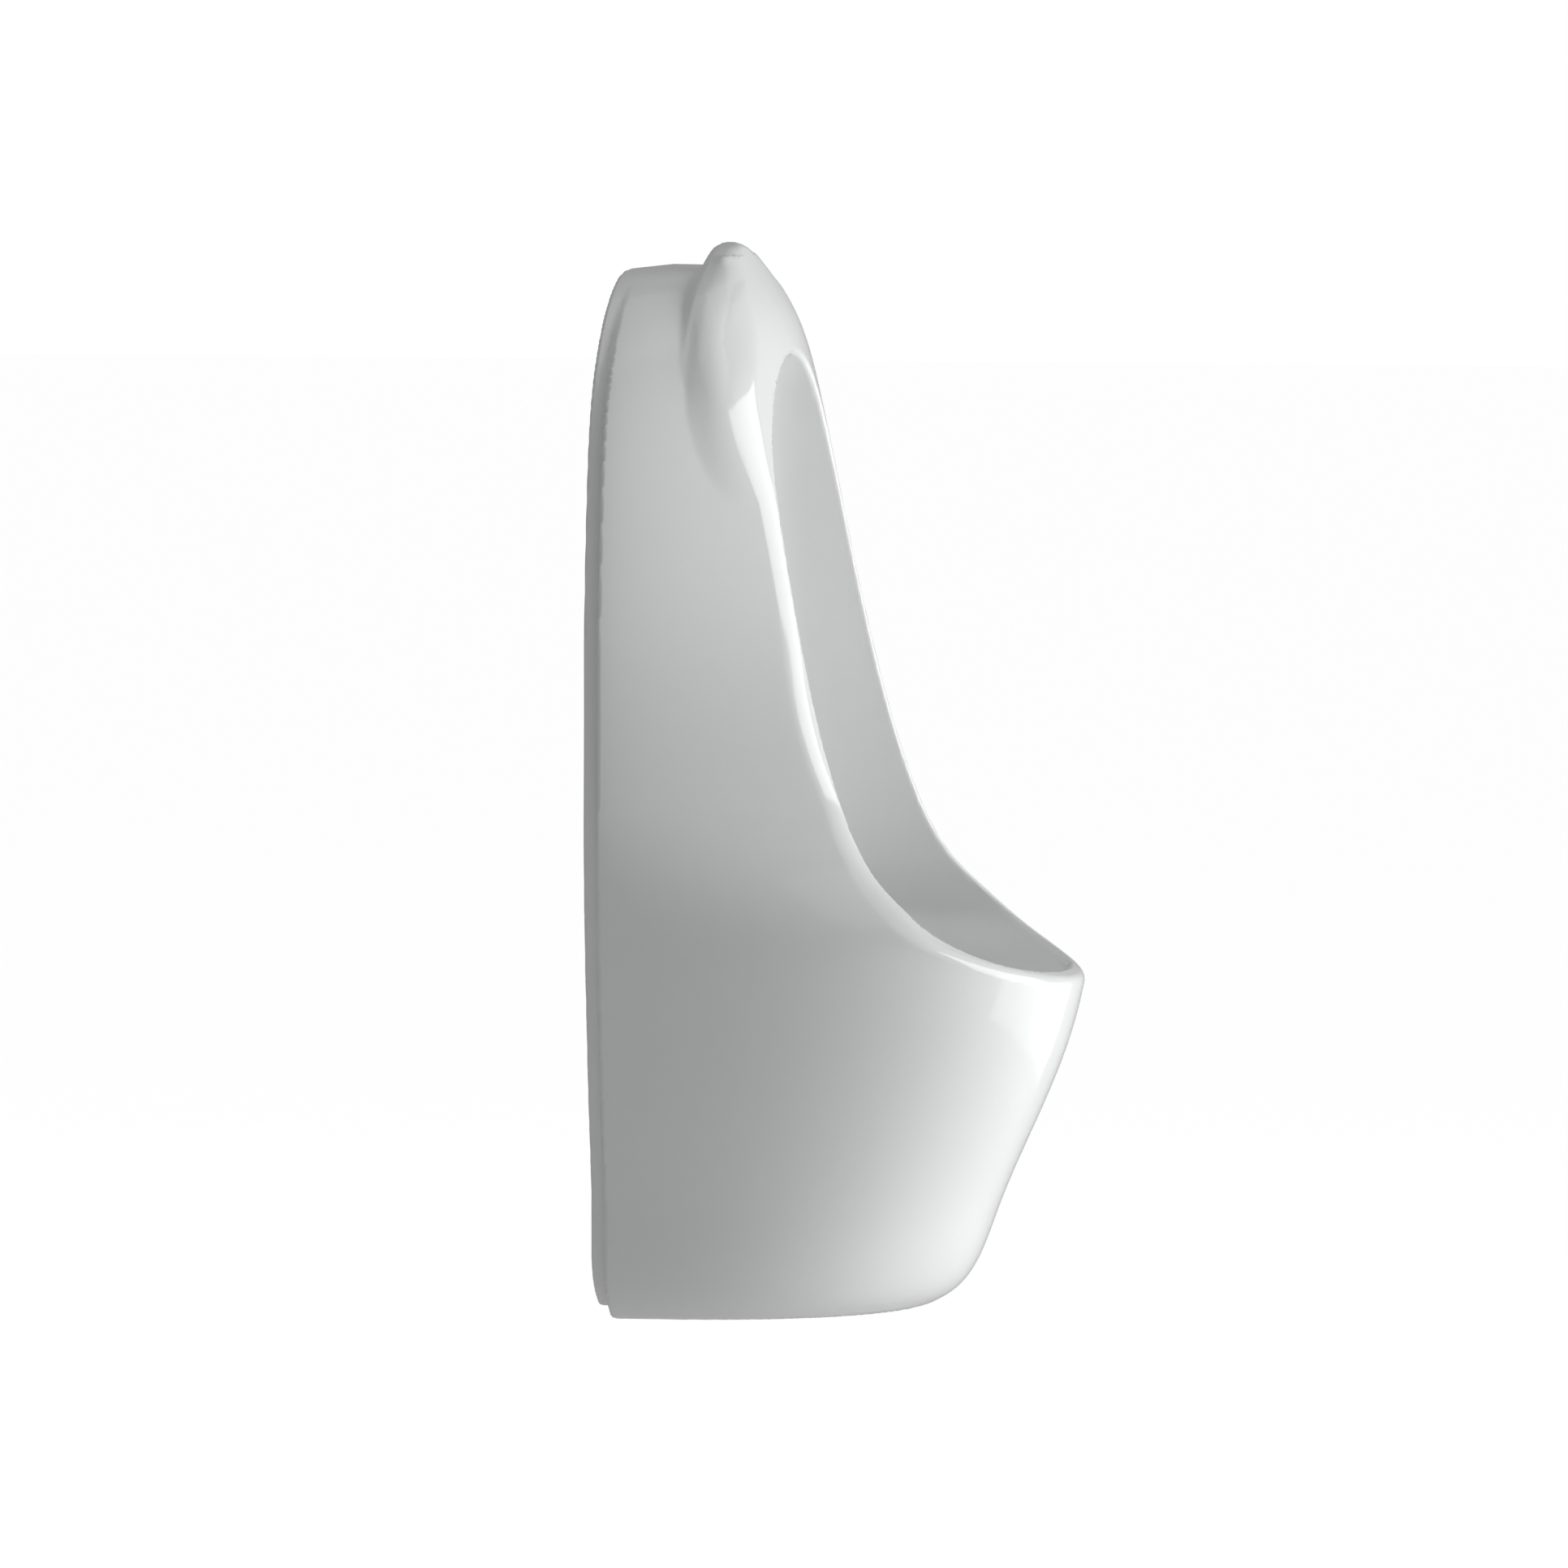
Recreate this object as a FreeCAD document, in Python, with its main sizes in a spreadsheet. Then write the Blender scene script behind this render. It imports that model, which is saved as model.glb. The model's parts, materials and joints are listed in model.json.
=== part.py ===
import FreeCAD, Part
import math
import os
import Sketcher

# Wall hung urinal, millimetres, +Z up, front of the bowl towards -Y.
# Heights are measured up from the underside of the bowl, and depths forward from the back plane
# of the front shell. The datum is on the wall face, at the centre of the four hanger screws, so
# every sub-part is placed lower by datum_height.

document = FreeCAD.newDocument("WallHungUrinal")
sheet = document.addObject("Spreadsheet::Sheet", "Sizes")
Vector = FreeCAD.Vector

DIMENSIONS = [
    ("datum_height", 590, "hanger screws above the underside of the bowl"),
    # glazed body: stations from the foot to the crest, each with its height, half width and depth
    ("rear_step_depth", 9.4, "the rear step stands this far behind the front shell"),
    ("rear_step_rise", 8, "the rear step stands this far above the front shell"),
    ("rear_step_inset", 2.5, "the rear step is this much narrower on each side"),
    ("rear_step_lap", 3, "the front of the rear step ends this far inside the rear hood"),
    ("rear_step_draft", 4, "narrower again at its front, so that it ends inside the rear hood"),
    ("wall_thickness", 12, "glazed ware, all walls"),
    ("foot_half_width", 138, ""),
    ("foot_nose", 172, ""),
    ("heel_height", 10, "top of the rounding under the bowl"),
    ("heel_half_width", 148, ""),
    ("heel_nose", 190, ""),
    ("shin_height", 62, ""),
    ("shin_half_width", 156, ""),
    ("shin_nose", 219, ""),
    ("belly_height", 130, ""),
    ("belly_half_width", 163, ""),
    ("belly_nose", 249, ""),
    ("chin_height", 188, ""),
    ("chin_half_width", 168.5, ""),
    ("chin_nose", 271, ""),
    ("lip_height", 215, "front tip of the rim"),
    ("lip_half_width", 171, ""),
    ("lip_nose", 277.6, "front tip of the rim"),
    ("throat_height", 232, "the section is fullest just above the tip, where the rim is cut from it"),
    ("throat_half_width", 172.3, ""),
    ("throat_nose", 285, ""),
    ("cheek_height", 247, ""),
    ("cheek_half_width", 173, ""),
    ("cheek_rim_half_width", 130, ""),
    ("cheek_rim_depth", 228, ""),
    ("jaw_height", 262, ""),
    ("jaw_half_width", 174, ""),
    ("jaw_rim_half_width", 128, ""),
    ("jaw_rim_depth", 210.5, ""),
    ("knee_height", 286, ""),
    ("knee_half_width", 175, ""),
    ("knee_rim_half_width", 119.5, ""),
    ("knee_rim_depth", 185, ""),
    ("waist_height", 340, ""),
    ("waist_half_width", 175, ""),
    ("waist_rim_half_width", 111, ""),
    ("waist_rim_depth", 156, ""),
    ("chest_height", 440, ""),
    ("chest_half_width", 173.5, ""),
    ("chest_rim_half_width", 101.5, ""),
    ("chest_rim_depth", 127, ""),
    ("shoulder_height", 520, ""),
    ("shoulder_half_width", 167, ""),
    ("shoulder_rim_half_width", 94, ""),
    ("shoulder_rim_depth", 109.5, ""),
    ("brow_height", 600, ""),
    ("brow_half_width", 148, ""),
    ("brow_rim_half_width", 85, ""),
    ("brow_rim_depth", 92, ""),
    ("ledge_height", 664, "flat top behind the hood"),
    ("ledge_half_width", 80, ""),
    ("ledge_nose", 56, ""),
    ("hood_back", 44, "back of the raised hood"),
    ("hood_rise", 16, "crest of the hood above the ledge"),
    ("hood_crest_depth", 57, ""),
    ("hood_lead", 4, "the crest is cut back by this much to the line of the rim"),
    ("rim_convexity", 11, "the front face stands this far forward at the middle of the brow"),
    ("rim_width", 11.5, "width of the glazed rim round the opening"),
    ("opening_apex_height", 616, "top of the opening"),
    ("bowl_back_depth", 24, "inner back wall of the bowl"),
    ("vault_reach", 44, "the back wall curves forward by this much into the vault"),
    ("sump_height", 140, "flat round the waste hole"),
    ("sump_depth", 95, "axis of the waste hole"),
    ("sump_radius", 43, ""),
    ("dish_height", 8, "first curve of the basin above the sump"),
    ("dish_half_width", 65, ""),
    ("dish_front", 160, ""),
    ("basin_height", 32, "above the sump"),
    ("basin_half_width", 101, ""),
    ("basin_front", 202, ""),
    ("well_drop", 12, "section of the bowl below the lip"),
    ("well_half_width", 124, ""),
    ("well_front", 258.5, ""),
    ("gorge_rise", 14, "section of the bowl above the lip"),
    ("gorge_half_width", 126, ""),
    ("gorge_front", 267, ""),
    ("cheek_bowl_half_width", 128, ""),
    ("cheek_bowl_front", 260, ""),
    ("jaw_bowl_half_width", 120, ""),
    ("jaw_bowl_front", 255, ""),
    ("bowl_overrun", 62, "higher up the section closes this far in front of the rim"),
    ("waste_hole_radius", 26, ""),
    ("service_hole_radius", 46, "opening under the trap"),
    ("service_hole_clearance", 1, "cut past both faces"),
    ("inlet_height", 556, "axis of the flush inlet"),
    ("inlet_hole_radius", 11.5, ""),
    ("inlet_boss_radius", 23, ""),
    ("inlet_boss_proud", 3, "boss stands this far into the bowl"),
    ("pocket_depth", 45, "pockets beside the bowl, open at the back"),
    ("pocket_inner", 116, "inner side of the pockets, beside the basin"),
    # hangers
    ("hanger_spacing", 180, "between the centres of the two brackets"),
    ("hanger_hole_spacing", 40, "between the two screws of a bracket"),
    ("hanger_hole_radius", 4, ""),
    ("hanger_width", 36, ""),
    ("hanger_length", 74, ""),
    ("hanger_plate", 3, "steel strip"),
    ("hanger_hook_reach", 17, "inside of the hook, measured from the wall"),
    ("hanger_hook_rise", 26, "top of the arm above the hanger screws"),
    ("hanger_lip", 12, "height of the turned up end"),
    ("pad_thickness", 1.5, "plastic saddle on the arm"),
    ("lug_height", 18, "glazed bar that hangs on the arm"),
    ("lug_length", 58, ""),
    ("seat_gap", 0.3, "clearance where a piece only rests"),
    # waste
    ("flange_radius", 36, ""),
    ("flange_thickness", 3, ""),
    ("gasket_thickness", 2, ""),
    ("tail_radius", 24, "threaded tail of the waste"),
    ("tail_bore", 20, ""),
    ("tail_length", 50, ""),
    ("fit_clearance", 0.3, ""),
    ("under_gasket_thickness", 3, ""),
    ("under_gasket_radius", 37, ""),
    ("slip_washer_thickness", 1.5, ""),
    ("waste_nut_height", 10, ""),
    ("waste_nut_circumradius", 37, ""),
    ("grid_radius", 33, ""),
    ("grid_thickness", 2, ""),
    ("grid_rise", 14, "dome of the grid above its rim"),
    ("grid_spigot_radius", 19.2, "skirt of the grid in the waste"),
    ("grid_spigot_length", 12, ""),
    ("grid_slot_width", 5, ""),
    ("grid_slot_start", 6, "from the axis"),
    ("grid_slot_end", 25, "from the axis"),
    ("grid_slot_count", 10, ""),
    # trap
    ("dip_tube_radius", 17, ""),
    ("dip_tube_wall", 2, ""),
    ("dip_tube_length", 66, ""),
    ("dip_flange_thickness", 2, ""),
    ("joint_washer_thickness", 2, ""),
    ("neck_radius", 28, ""),
    ("neck_height", 14, "above the seat of the dip tube"),
    ("neck_shoulder", 12, "wall over the chamber"),
    ("chamber_radius", 27, ""),
    ("trap_wall", 3, ""),
    ("chamber_length", 44, ""),
    ("slip_seal_thickness", 3, ""),
    ("union_nut_wall", 4.5, ""),
    ("union_nut_top", 4, ""),
    ("union_nut_skirt", 12, ""),
    ("cup_overlap", 10, "cup over the threaded end of the chamber"),
    ("cup_seal_thickness", 1.6, ""),
    ("cup_depth", 16, "inside of the cup below its seal"),
    ("outlet_drop", 26, "outlet axis below the seat of the dip tube"),
    ("branch_radius", 18.5, ""),
    ("branch_bore", 13.5, ""),
    ("branch_reach", 53, "end of the branch behind the trap axis"),
    ("branch_socket_length", 12, ""),
    ("pipe_radius", 16, "outlet pipe"),
    ("pipe_wall", 2, ""),
    ("outlet_seal_thickness", 3, ""),
    ("socket_bore", 20.2, "takes the waste pipe from the wall"),
    ("socket_wall", 2.8, ""),
    ("socket_length", 24, ""),
    ("socket_inset", 1, "mouth of the socket in front of the wall face"),
    ("socket_seal_width", 5, ""),
    ("socket_seal_depth", 1.6, ""),
    ("socket_seal_place", 6, "from the mouth"),
    # flush inlet
    ("inlet_tail_radius", 10.45, "pipe thread G 1/2"),
    ("inlet_spigot_radius", 10.1, "plain end that the supply pipe's socket slides on to"),
    ("inlet_spigot_length", 8.4, ""),
    ("inlet_tail_bore", 7.5, ""),
    ("inlet_tail_inset", 1, "end of the tail in front of the wall face"),
    ("inlet_washer_thickness", 1.5, ""),
    ("inlet_washer_radius", 18, ""),
    ("inlet_nut_height", 8, ""),
    ("inlet_nut_circumradius", 16.5, ""),
    ("rose_radius", 20, ""),
    ("rose_thickness", 3, ""),
    ("nozzle_radius", 12.5, ""),
    ("nozzle_length", 15, ""),
    ("nozzle_hole_radius", 1.6, ""),
    ("nozzle_hole_count", 9, "in a fan to the sides and below"),
]

for row, (alias, number, note) in enumerate(DIMENSIONS, start=1):
    sheet.set("A%d" % row, alias)
    sheet.set("B%d" % row, str(number))
    sheet.set("C%d" % row, note)
    sheet.setAlias("B%d" % row, alias)
document.recompute()


def size(text):
    """Value of an expression of the sheet's names, such as tail_radius + fit_clearance."""
    return float(sheet.evalExpression(bound(text)))


def bound(text):
    """The same expression with every name of the sheet written out in full."""
    words = []
    for word in text.split():
        bare = word.strip("()")
        words.append(word.replace(bare, "Sizes." + bare) if bare in ALIASES else word)
    return " ".join(words)


ALIASES = {alias for alias, number, note in DIMENSIONS}
SUBPARTS = []

# ---------------------------------------------------------------- helpers


def bind(item, **expressions):
    for name, text in expressions.items():
        item.setExpression(name.replace("__", "."), bound(text))


def keep(item, label, height="0", side="0", behind=None):
    """Name a finished sub-part and set it at its height above the underside, its side offset and
    its distance in front of the wall."""
    item.Label = label
    item.setExpression(".Placement.Base.z", bound("( " + height + " ) - datum_height"))
    item.setExpression(".Placement.Base.x", bound(side))
    if behind:
        item.setExpression(".Placement.Base.y", bound("0 - ( " + behind + " )"))
    SUBPARTS.append(item)
    return item


def origin_plane(body, role):
    return next(item for item in body.Origin.OriginFeatures if item.Role == role)


def outline(body, name, plane, corners):
    """A closed sketch of straight runs. Each corner is a pair of expressions."""
    sketch = body.newObject("Sketcher::SketchObject", name)
    sketch.AttachmentSupport = (origin_plane(body, plane), [""])
    sketch.MapMode = "FlatFace"
    points = [Vector(size(across), size(up), 0) for across, up in corners]
    for start, end in zip(points, points[1:] + points[:1]):
        sketch.addGeometry(Part.LineSegment(start, end))
    for index in range(len(points)):
        following = (index + 1) % len(points)
        sketch.addConstraint(Sketcher.Constraint("Coincident", index, 2, following, 1))
    for index, (across, up) in enumerate(corners):
        for kind, text, value in (("DistanceX", across, points[index].x), ("DistanceY", up, points[index].y)):
            number = sketch.addConstraint(Sketcher.Constraint(kind, -1, 1, index, 1, value))
            sketch.setExpression("Constraints[%d]" % number, bound(text))
    return sketch


def turned(name, corners):
    """A body turned about its own Z axis from a profile of (radius, height) corners."""
    body = document.addObject("PartDesign::Body", name)
    sketch = outline(body, name + "Profile", "XZ_Plane", corners)
    revolution = body.newObject("PartDesign::Revolution", name + "Turned")
    revolution.Profile = sketch
    revolution.ReferenceAxis = (sketch, ["V_Axis"])
    revolution.Angle = 360
    document.recompute()
    return body


def ring(name, inner, outer, thickness):
    return turned(name, [(inner, "0"), (outer, "0"), (outer, thickness), (inner, thickness)])


def lay_along_wall_axis(body):
    """Turn a body so that its own Z axis points at the wall."""
    body.Placement = FreeCAD.Placement(Vector(0, 0, 0), FreeCAD.Rotation(Vector(1, 0, 0), -90))


def nut(name, circumradius, bore, height):
    """A hexagon nut on its own Z axis."""
    body = document.addObject("PartDesign::Body", name)
    sketch = body.newObject("Sketcher::SketchObject", name + "Hexagon")
    sketch.AttachmentSupport = (origin_plane(body, "XY_Plane"), [""])
    sketch.MapMode = "FlatFace"
    reach = size(circumradius)
    corners = [Vector(reach * math.cos(math.radians(60 * k)), reach * math.sin(math.radians(60 * k)), 0)
               for k in range(6)]
    guide = sketch.addGeometry(Part.Circle(Vector(0, 0, 0), Vector(0, 0, 1), reach), True)
    sketch.addConstraint(Sketcher.Constraint("Coincident", guide, 3, -1, 1))
    radius = sketch.addConstraint(Sketcher.Constraint("Radius", guide, reach))
    sketch.setExpression("Constraints[%d]" % radius, bound(circumradius))
    edges = [sketch.addGeometry(Part.LineSegment(corners[k], corners[(k + 1) % 6])) for k in range(6)]
    for k in range(6):
        sketch.addConstraint(Sketcher.Constraint("Coincident", edges[k], 2, edges[(k + 1) % 6], 1))
        sketch.addConstraint(Sketcher.Constraint("PointOnObject", edges[k], 1, guide))
    for k in range(5):
        sketch.addConstraint(Sketcher.Constraint("Equal", edges[k], edges[k + 1]))
    sketch.addConstraint(Sketcher.Constraint("PointOnObject", edges[0], 1, -1))
    pad = body.newObject("PartDesign::Pad", name + "Pad")
    pad.Profile = sketch
    bind(pad, Length=height)
    document.recompute()
    hole = body.newObject("Sketcher::SketchObject", name + "Bore")
    hole.AttachmentSupport = (origin_plane(body, "XY_Plane"), [""])
    hole.MapMode = "FlatFace"
    circle = hole.addGeometry(Part.Circle(Vector(0, 0, 0), Vector(0, 0, 1), size(bore)))
    hole.addConstraint(Sketcher.Constraint("Coincident", circle, 3, -1, 1))
    radius = hole.addConstraint(Sketcher.Constraint("Radius", circle, size(bore)))
    hole.setExpression("Constraints[%d]" % radius, bound(bore))
    pocket = body.newObject("PartDesign::Pocket", name + "Pocket")
    pocket.Profile = hole
    pocket.Type = "ThroughAll"
    pocket.Midplane = True
    document.recompute()
    return body


def cylinder(name, radius, height, x="0", y="0", z="0", towards=None):
    item = document.addObject("Part::Cylinder", name)
    if towards:
        item.Placement = FreeCAD.Placement(Vector(0, 0, 0), FreeCAD.Rotation(Vector(0, 0, 1), towards))
    bind(item, Radius=radius, Height=height, __Placement__Base__x=x, __Placement__Base__y=y,
         __Placement__Base__z=z)
    return item


def box(name, length, width, height, x, y, z):
    item = document.addObject("Part::Box", name)
    bind(item, Length=length, Width=width, Height=height, __Placement__Base__x=x,
         __Placement__Base__y=y, __Placement__Base__z=z)
    return item


def fused(name, pieces):
    item = document.addObject("Part::MultiFuse", name)
    item.Shapes = pieces
    item.Refine = True
    return item


def cut(name, base, tool):
    item = document.addObject("Part::Cut", name)
    item.Base = base
    item.Tool = tool
    return item


# ---------------------------------------------------------------- glazed body

# Plan sections follow (x/w)^a + (d/n)^b = 1, full at the sides and pulled in towards the nose.
ROUND = (2.0, 2.6)
RIM_STATIONS = ("cheek", "jaw", "knee", "waist", "chest", "shoulder", "brow")
SECTION_ANGLES = [0, 14, 32, 52, 72, 90]


def depth_to_y(depth):
    return -(size("rear_step_depth") + depth)


def nose_from_rim(name):
    """Depth at which a plan section would close, when it has to pass through the rim."""
    rim = size(name + "_rim_half_width")
    across, along = ROUND
    share = 1 - (rim / size(name + "_half_width")) ** across
    return (size(name + "_rim_depth") - rim_bow(rim)) / share ** (1 / along)


def rim_bow(x):
    return size("rim_convexity") * (x / size("brow_rim_half_width")) ** 2


def half_round(half_width, back, nose, powers=ROUND):
    """Points of one plan section from its right back corner round the nose to the left one."""
    across, along = powers
    points = []
    for angle in SECTION_ANGLES[:-1]:
        turn = math.radians(angle)
        depth = back + (nose - back) * math.sin(turn) ** (2 / along)
        points.append((half_width * math.cos(turn) ** (2 / across), depth))
    return points + [(0.0, nose)] + [(-x, depth) for x, depth in reversed(points)]


def spline_through(points, closed=False):
    """A smooth edge through the points, with the same spacing of its parameter in every section."""
    stations = [float(index) for index in range(len(points) + (1 if closed else 0))]
    curve = Part.BSplineCurve()
    curve.interpolate(Points=points, Parameters=stations, PeriodicFlag=closed)
    return curve.toShape()


def profile_through(points):
    curve = Part.BSplineCurve()
    curve.interpolate(points)
    return curve.toShape()


def open_section(height, half_width, back, nose, powers, shift=0):
    """A plan section with a straight back."""
    points = [Vector(x, depth_to_y(depth - shift), height)
              for x, depth in half_round(half_width, back, nose, powers)]
    return Part.Wire([spline_through(points), Part.makeLine(points[-1], points[0])])


def bowl_section(height, back, front, half_width):
    """A closed oval round the axis of the bowl."""
    middle = (back + front) / 2
    front = [(x, middle + depth) for x, depth in half_round(half_width, 0, (front - back) / 2)]
    rear = [(-x, middle - (depth - middle)) for x, depth in front[1:-1]]
    points = [Vector(x, depth_to_y(depth), height) for x, depth in front + rear]
    return Part.Wire([spline_through(points, closed=True)])


def loft(name, wires):
    sections = []
    for index, wire in enumerate(wires):
        section = document.addObject("Part::Feature", "%sSection%d" % (name, index + 1))
        section.Shape = wire
        sections.append(section)
    item = document.addObject("Part::Loft", name)
    item.Sections = sections
    item.Solid = True
    return item


def shell_stations():
    """(height, half width, nose depth, powers) from the foot up to the brow."""
    stations = [(0.0, size("foot_half_width"), size("foot_nose"), ROUND)]
    for name in ("heel", "shin", "belly", "chin", "lip", "throat"):
        stations.append((size(name + "_height"), size(name + "_half_width"), size(name + "_nose"), ROUND))
    for name in RIM_STATIONS:
        stations.append((size(name + "_height"), size(name + "_half_width"), nose_from_rim(name), ROUND))
    return stations


TOP_POWER = 1.25


def top_stations():
    """The rounded shoulders of the box, from the brow up to the ledge."""
    low = size("brow_height")
    high = size("ledge_height")
    wide = size("brow_half_width")
    narrow = size("ledge_half_width")
    deep = nose_from_rim("brow")
    shallow = size("ledge_nose")
    stations = []
    for share in (0.45, 0.75, 0.92, 1.0):
        rounding = 1 - math.sqrt(1 - share ** TOP_POWER)
        stations.append((low + share * (high - low), wide - rounding * (wide - narrow),
                         deep - share * (deep - shallow), ROUND))
    return stations


STATIONS = shell_stations() + top_stations()
shell = loft("FrontShell", [open_section(height, half_width, 0, nose, powers)
                            for height, half_width, nose, powers in STATIONS])

# Rear step: the same outline, a little narrower, raised and set back to the wall.
REAR_TAPER = 0.95
REAR_HOOD_SHIFT = 8.7


def rear_section(height, half_width):
    back = half_width - size("rear_step_inset")
    front = REAR_TAPER * half_width - size("rear_step_inset") - size("rear_step_draft")
    forward = depth_to_y(size("hood_back") - REAR_HOOD_SHIFT + size("rear_step_lap"))
    raised = height + size("rear_step_rise")
    corners = [Vector(back, 0, raised), Vector(front, forward, raised),
               Vector(-front, forward, raised), Vector(-back, 0, raised)]
    return Part.makePolygon(corners + corners[:1])


rear = loft("RearStep", [rear_section(height, half_width)
                         for height, half_width, nose, powers in STATIONS])


HOOD_HEIGHT = size("ledge_height + hood_rise")
HOOD_SPREAD = 0.79
HOOD_SHARES = [-0.5, 0.0, 0.35, 0.6, 0.78, 0.9, 0.97, 1.0]


def hood_section(share, rise, shift, lead):
    """Plan section of the hood, from the brow (0) up to its crest (1). It leads the cut of the rim.
    Below the brow its foot is buried in the shell."""
    low = size("brow_height")
    height = low + share * (HOOD_HEIGHT - low)
    above = max(share, 0.0)
    half_width = HOOD_SPREAD * size("brow_half_width") * math.sqrt(1 - 0.985 * above ** 2.2)
    deep = nose_from_rim("brow")
    nose = deep - (deep - size("hood_crest_depth")) * (0.72 * above + 0.28 * above ** 4) + lead * above
    return open_section(height + rise, half_width, size("hood_back"), nose, ROUND, shift)


def hood(name, rise, shift, lead):
    return loft(name, [hood_section(share, rise, shift, lead) for share in HOOD_SHARES])


front_hood = hood("FrontHood", 0, 0, size("hood_lead"))
rear_hood = hood("RearHood", size("rear_step_rise"), REAR_HOOD_SHIFT, 0)

massing = fused("Massing", [shell, rear, front_hood, rear_hood])


def scoop_profile(x):
    """Side profile of the cut that makes the rim and the front of the hood."""
    lip = size("lip_height")
    knee = size("knee_height")
    tip = size("lip_nose")
    fall = tip - size("knee_rim_depth")
    line = [(tip + 0.34 * fall, lip - 0.2 * (knee - lip)), (tip, lip)]
    line += [(size(name + "_rim_depth"), size(name + "_height")) for name in RIM_STATIONS]
    line.append((0.5 * (size("brow_rim_depth") + size("hood_crest_depth")) + 5.5,
                 0.5 * (size("brow_height") + HOOD_HEIGHT)))
    line.append((size("hood_crest_depth"), HOOD_HEIGHT))
    lean = (line[-2][0] - line[-1][0]) / (line[-1][1] - line[-2][1])
    over = 3 * size("rear_step_rise")
    line.append((line[-1][0] - lean * over, line[-1][1] + over))
    curve = [Vector(x, depth_to_y(depth - rim_bow(x)), height) for depth, height in line]
    far = depth_to_y(2 * tip)
    corners = [curve[-1], Vector(x, far, curve[-1].z), Vector(x, far, curve[0].z), curve[0]]
    return Part.Wire([profile_through(curve), Part.makeLine(corners[0], corners[1]),
                      Part.makeLine(corners[1], corners[2]), Part.makeLine(corners[2], corners[3])])


SCOOP_SIDE = 1.15 * size("knee_half_width")
scoop = loft("Scoop", [scoop_profile(side * SCOOP_SIDE) for side in (-1, 0, 1)])


# The dish starts this share of the way from the back of the bowl to the sump.
DISH_LEAD = 0.36


def bowl_stations():
    """(height, back, front, half width) of the inside of the bowl."""
    back = size("bowl_back_depth")
    axis = size("sump_depth")
    radius = size("sump_radius")
    sump = size("sump_height")
    lip = size("lip_height")
    stations = [(sump, axis - radius, axis + radius, radius)]
    for name, lead in (("dish", DISH_LEAD * (axis - radius - back)), ("basin", 0)):
        stations.append((sump + size(name + "_height"), back + lead, size(name + "_front"),
                         size(name + "_half_width")))
    stations.append((lip - size("well_drop"), back, size("well_front"), size("well_half_width")))
    stations.append((lip + size("gorge_rise"), back, size("gorge_front"), size("gorge_half_width")))
    for name in ("cheek", "jaw"):
        stations.append((size(name + "_height"), back, size(name + "_bowl_front"),
                         size(name + "_bowl_half_width")))
    for name in ("knee", "waist", "chest", "shoulder"):
        stations.append((size(name + "_height"), back, size(name + "_rim_depth") + size("bowl_overrun"),
                         size(name + "_rim_half_width") - size("rim_width")))
    apex = size("opening_apex_height")
    shoulder = size("shoulder_height")
    widest = size("shoulder_rim_half_width") - size("rim_width")
    front = size("brow_rim_depth") + size("bowl_overrun")
    for share in (0.45, 0.75, 0.92, 1.0):
        narrowing = math.sqrt(max(1 - share ** 2.4, 0.02))
        roof = back + size("vault_reach") * (1 - math.sqrt(1 - share ** 6))
        stations.append((shoulder + share * (apex - shoulder), roof, front, widest * narrowing))
    return stations


bowl = loft("BowlInside", [bowl_section(*station) for station in bowl_stations()])


# The back is open: a shallow space behind the bowl, a pocket on each side of it and a chamber for
# the trap under it. Their walls are flat, because the slip drains from them into the mould.
OPEN_BACK = -size("rear_step_depth") - 1


def flat_walled(name, outlines):
    """A solid with flat walls through plan outlines of (height, corners)."""
    wires = []
    for height, corners in outlines:
        points = [Vector(x, depth_to_y(depth), height) for x, depth in corners]
        wires.append(Part.makePolygon(points + points[:1]))
    item = loft(name, wires)
    item.Ruled = True
    return item


def inner_station(height, half_width, nose, powers):
    wall = size("wall_thickness")
    return height, half_width - wall, nose - wall, powers


def half_width_at(depth, half_width, nose, powers):
    across, along = powers
    share = (depth - OPEN_BACK) / (nose - OPEN_BACK)
    return half_width * (1 - share ** along) ** (1 / across)


def bowl_half_width_at(depth, name):
    """Half width of the bowl at one of the named heights, behind its middle."""
    back = size("bowl_back_depth")
    front = size(name + "_rim_depth") + size("bowl_overrun")
    share = ((back + front) / 2 - depth) / ((front - back) / 2)
    across, along = ROUND
    return (size(name + "_rim_half_width") - size("rim_width")) * (1 - share ** along) ** (1 / across)


RECESS_DRAFT = 0.95
INNER = [inner_station(*station) for station in STATIONS]
recess_floor = size("bowl_back_depth") - size("wall_thickness")
recess_top = size("ledge_height") - size("wall_thickness")
ABOVE_SUMP = [station for station in INNER if size("belly_height") <= station[0] < recess_top]
recess_stations = [(size("wall_thickness"), INNER[1][1])]
recess_stations += [(height, half_width) for height, half_width, nose, powers in ABOVE_SUMP]
recess_stations.append((recess_top, ABOVE_SUMP[-1][1] - size("wall_thickness") / 2))
recess = flat_walled("BackRecess", [
    (height, [(wide, OPEN_BACK), (RECESS_DRAFT * wide, recess_floor),
              (-RECESS_DRAFT * wide, recess_floor), (-wide, OPEN_BACK)])
    for height, wide in recess_stations])

CHAMBER_ANGLES = [0, 26, 50, 74]


def chamber_corners(half_width, nose):
    right = []
    for angle in CHAMBER_ANGLES:
        turn = math.radians(angle)
        depth = OPEN_BACK + (nose - OPEN_BACK) * math.sin(turn) ** (2 / ROUND[1])
        right.append((half_width * math.cos(turn), depth))
    return right + [(-x, depth) for x, depth in reversed(right)]


under_sump = size("sump_height") - size("wall_thickness")
chamber_space = flat_walled("TrapChamber", [
    (size("wall_thickness"), chamber_corners(INNER[1][1], INNER[1][2])),
    (size("shin_height"), chamber_corners(INNER[2][1], INNER[2][2])),
    (under_sump, chamber_corners(INNER[3][1], INNER[3][2]))])


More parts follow.
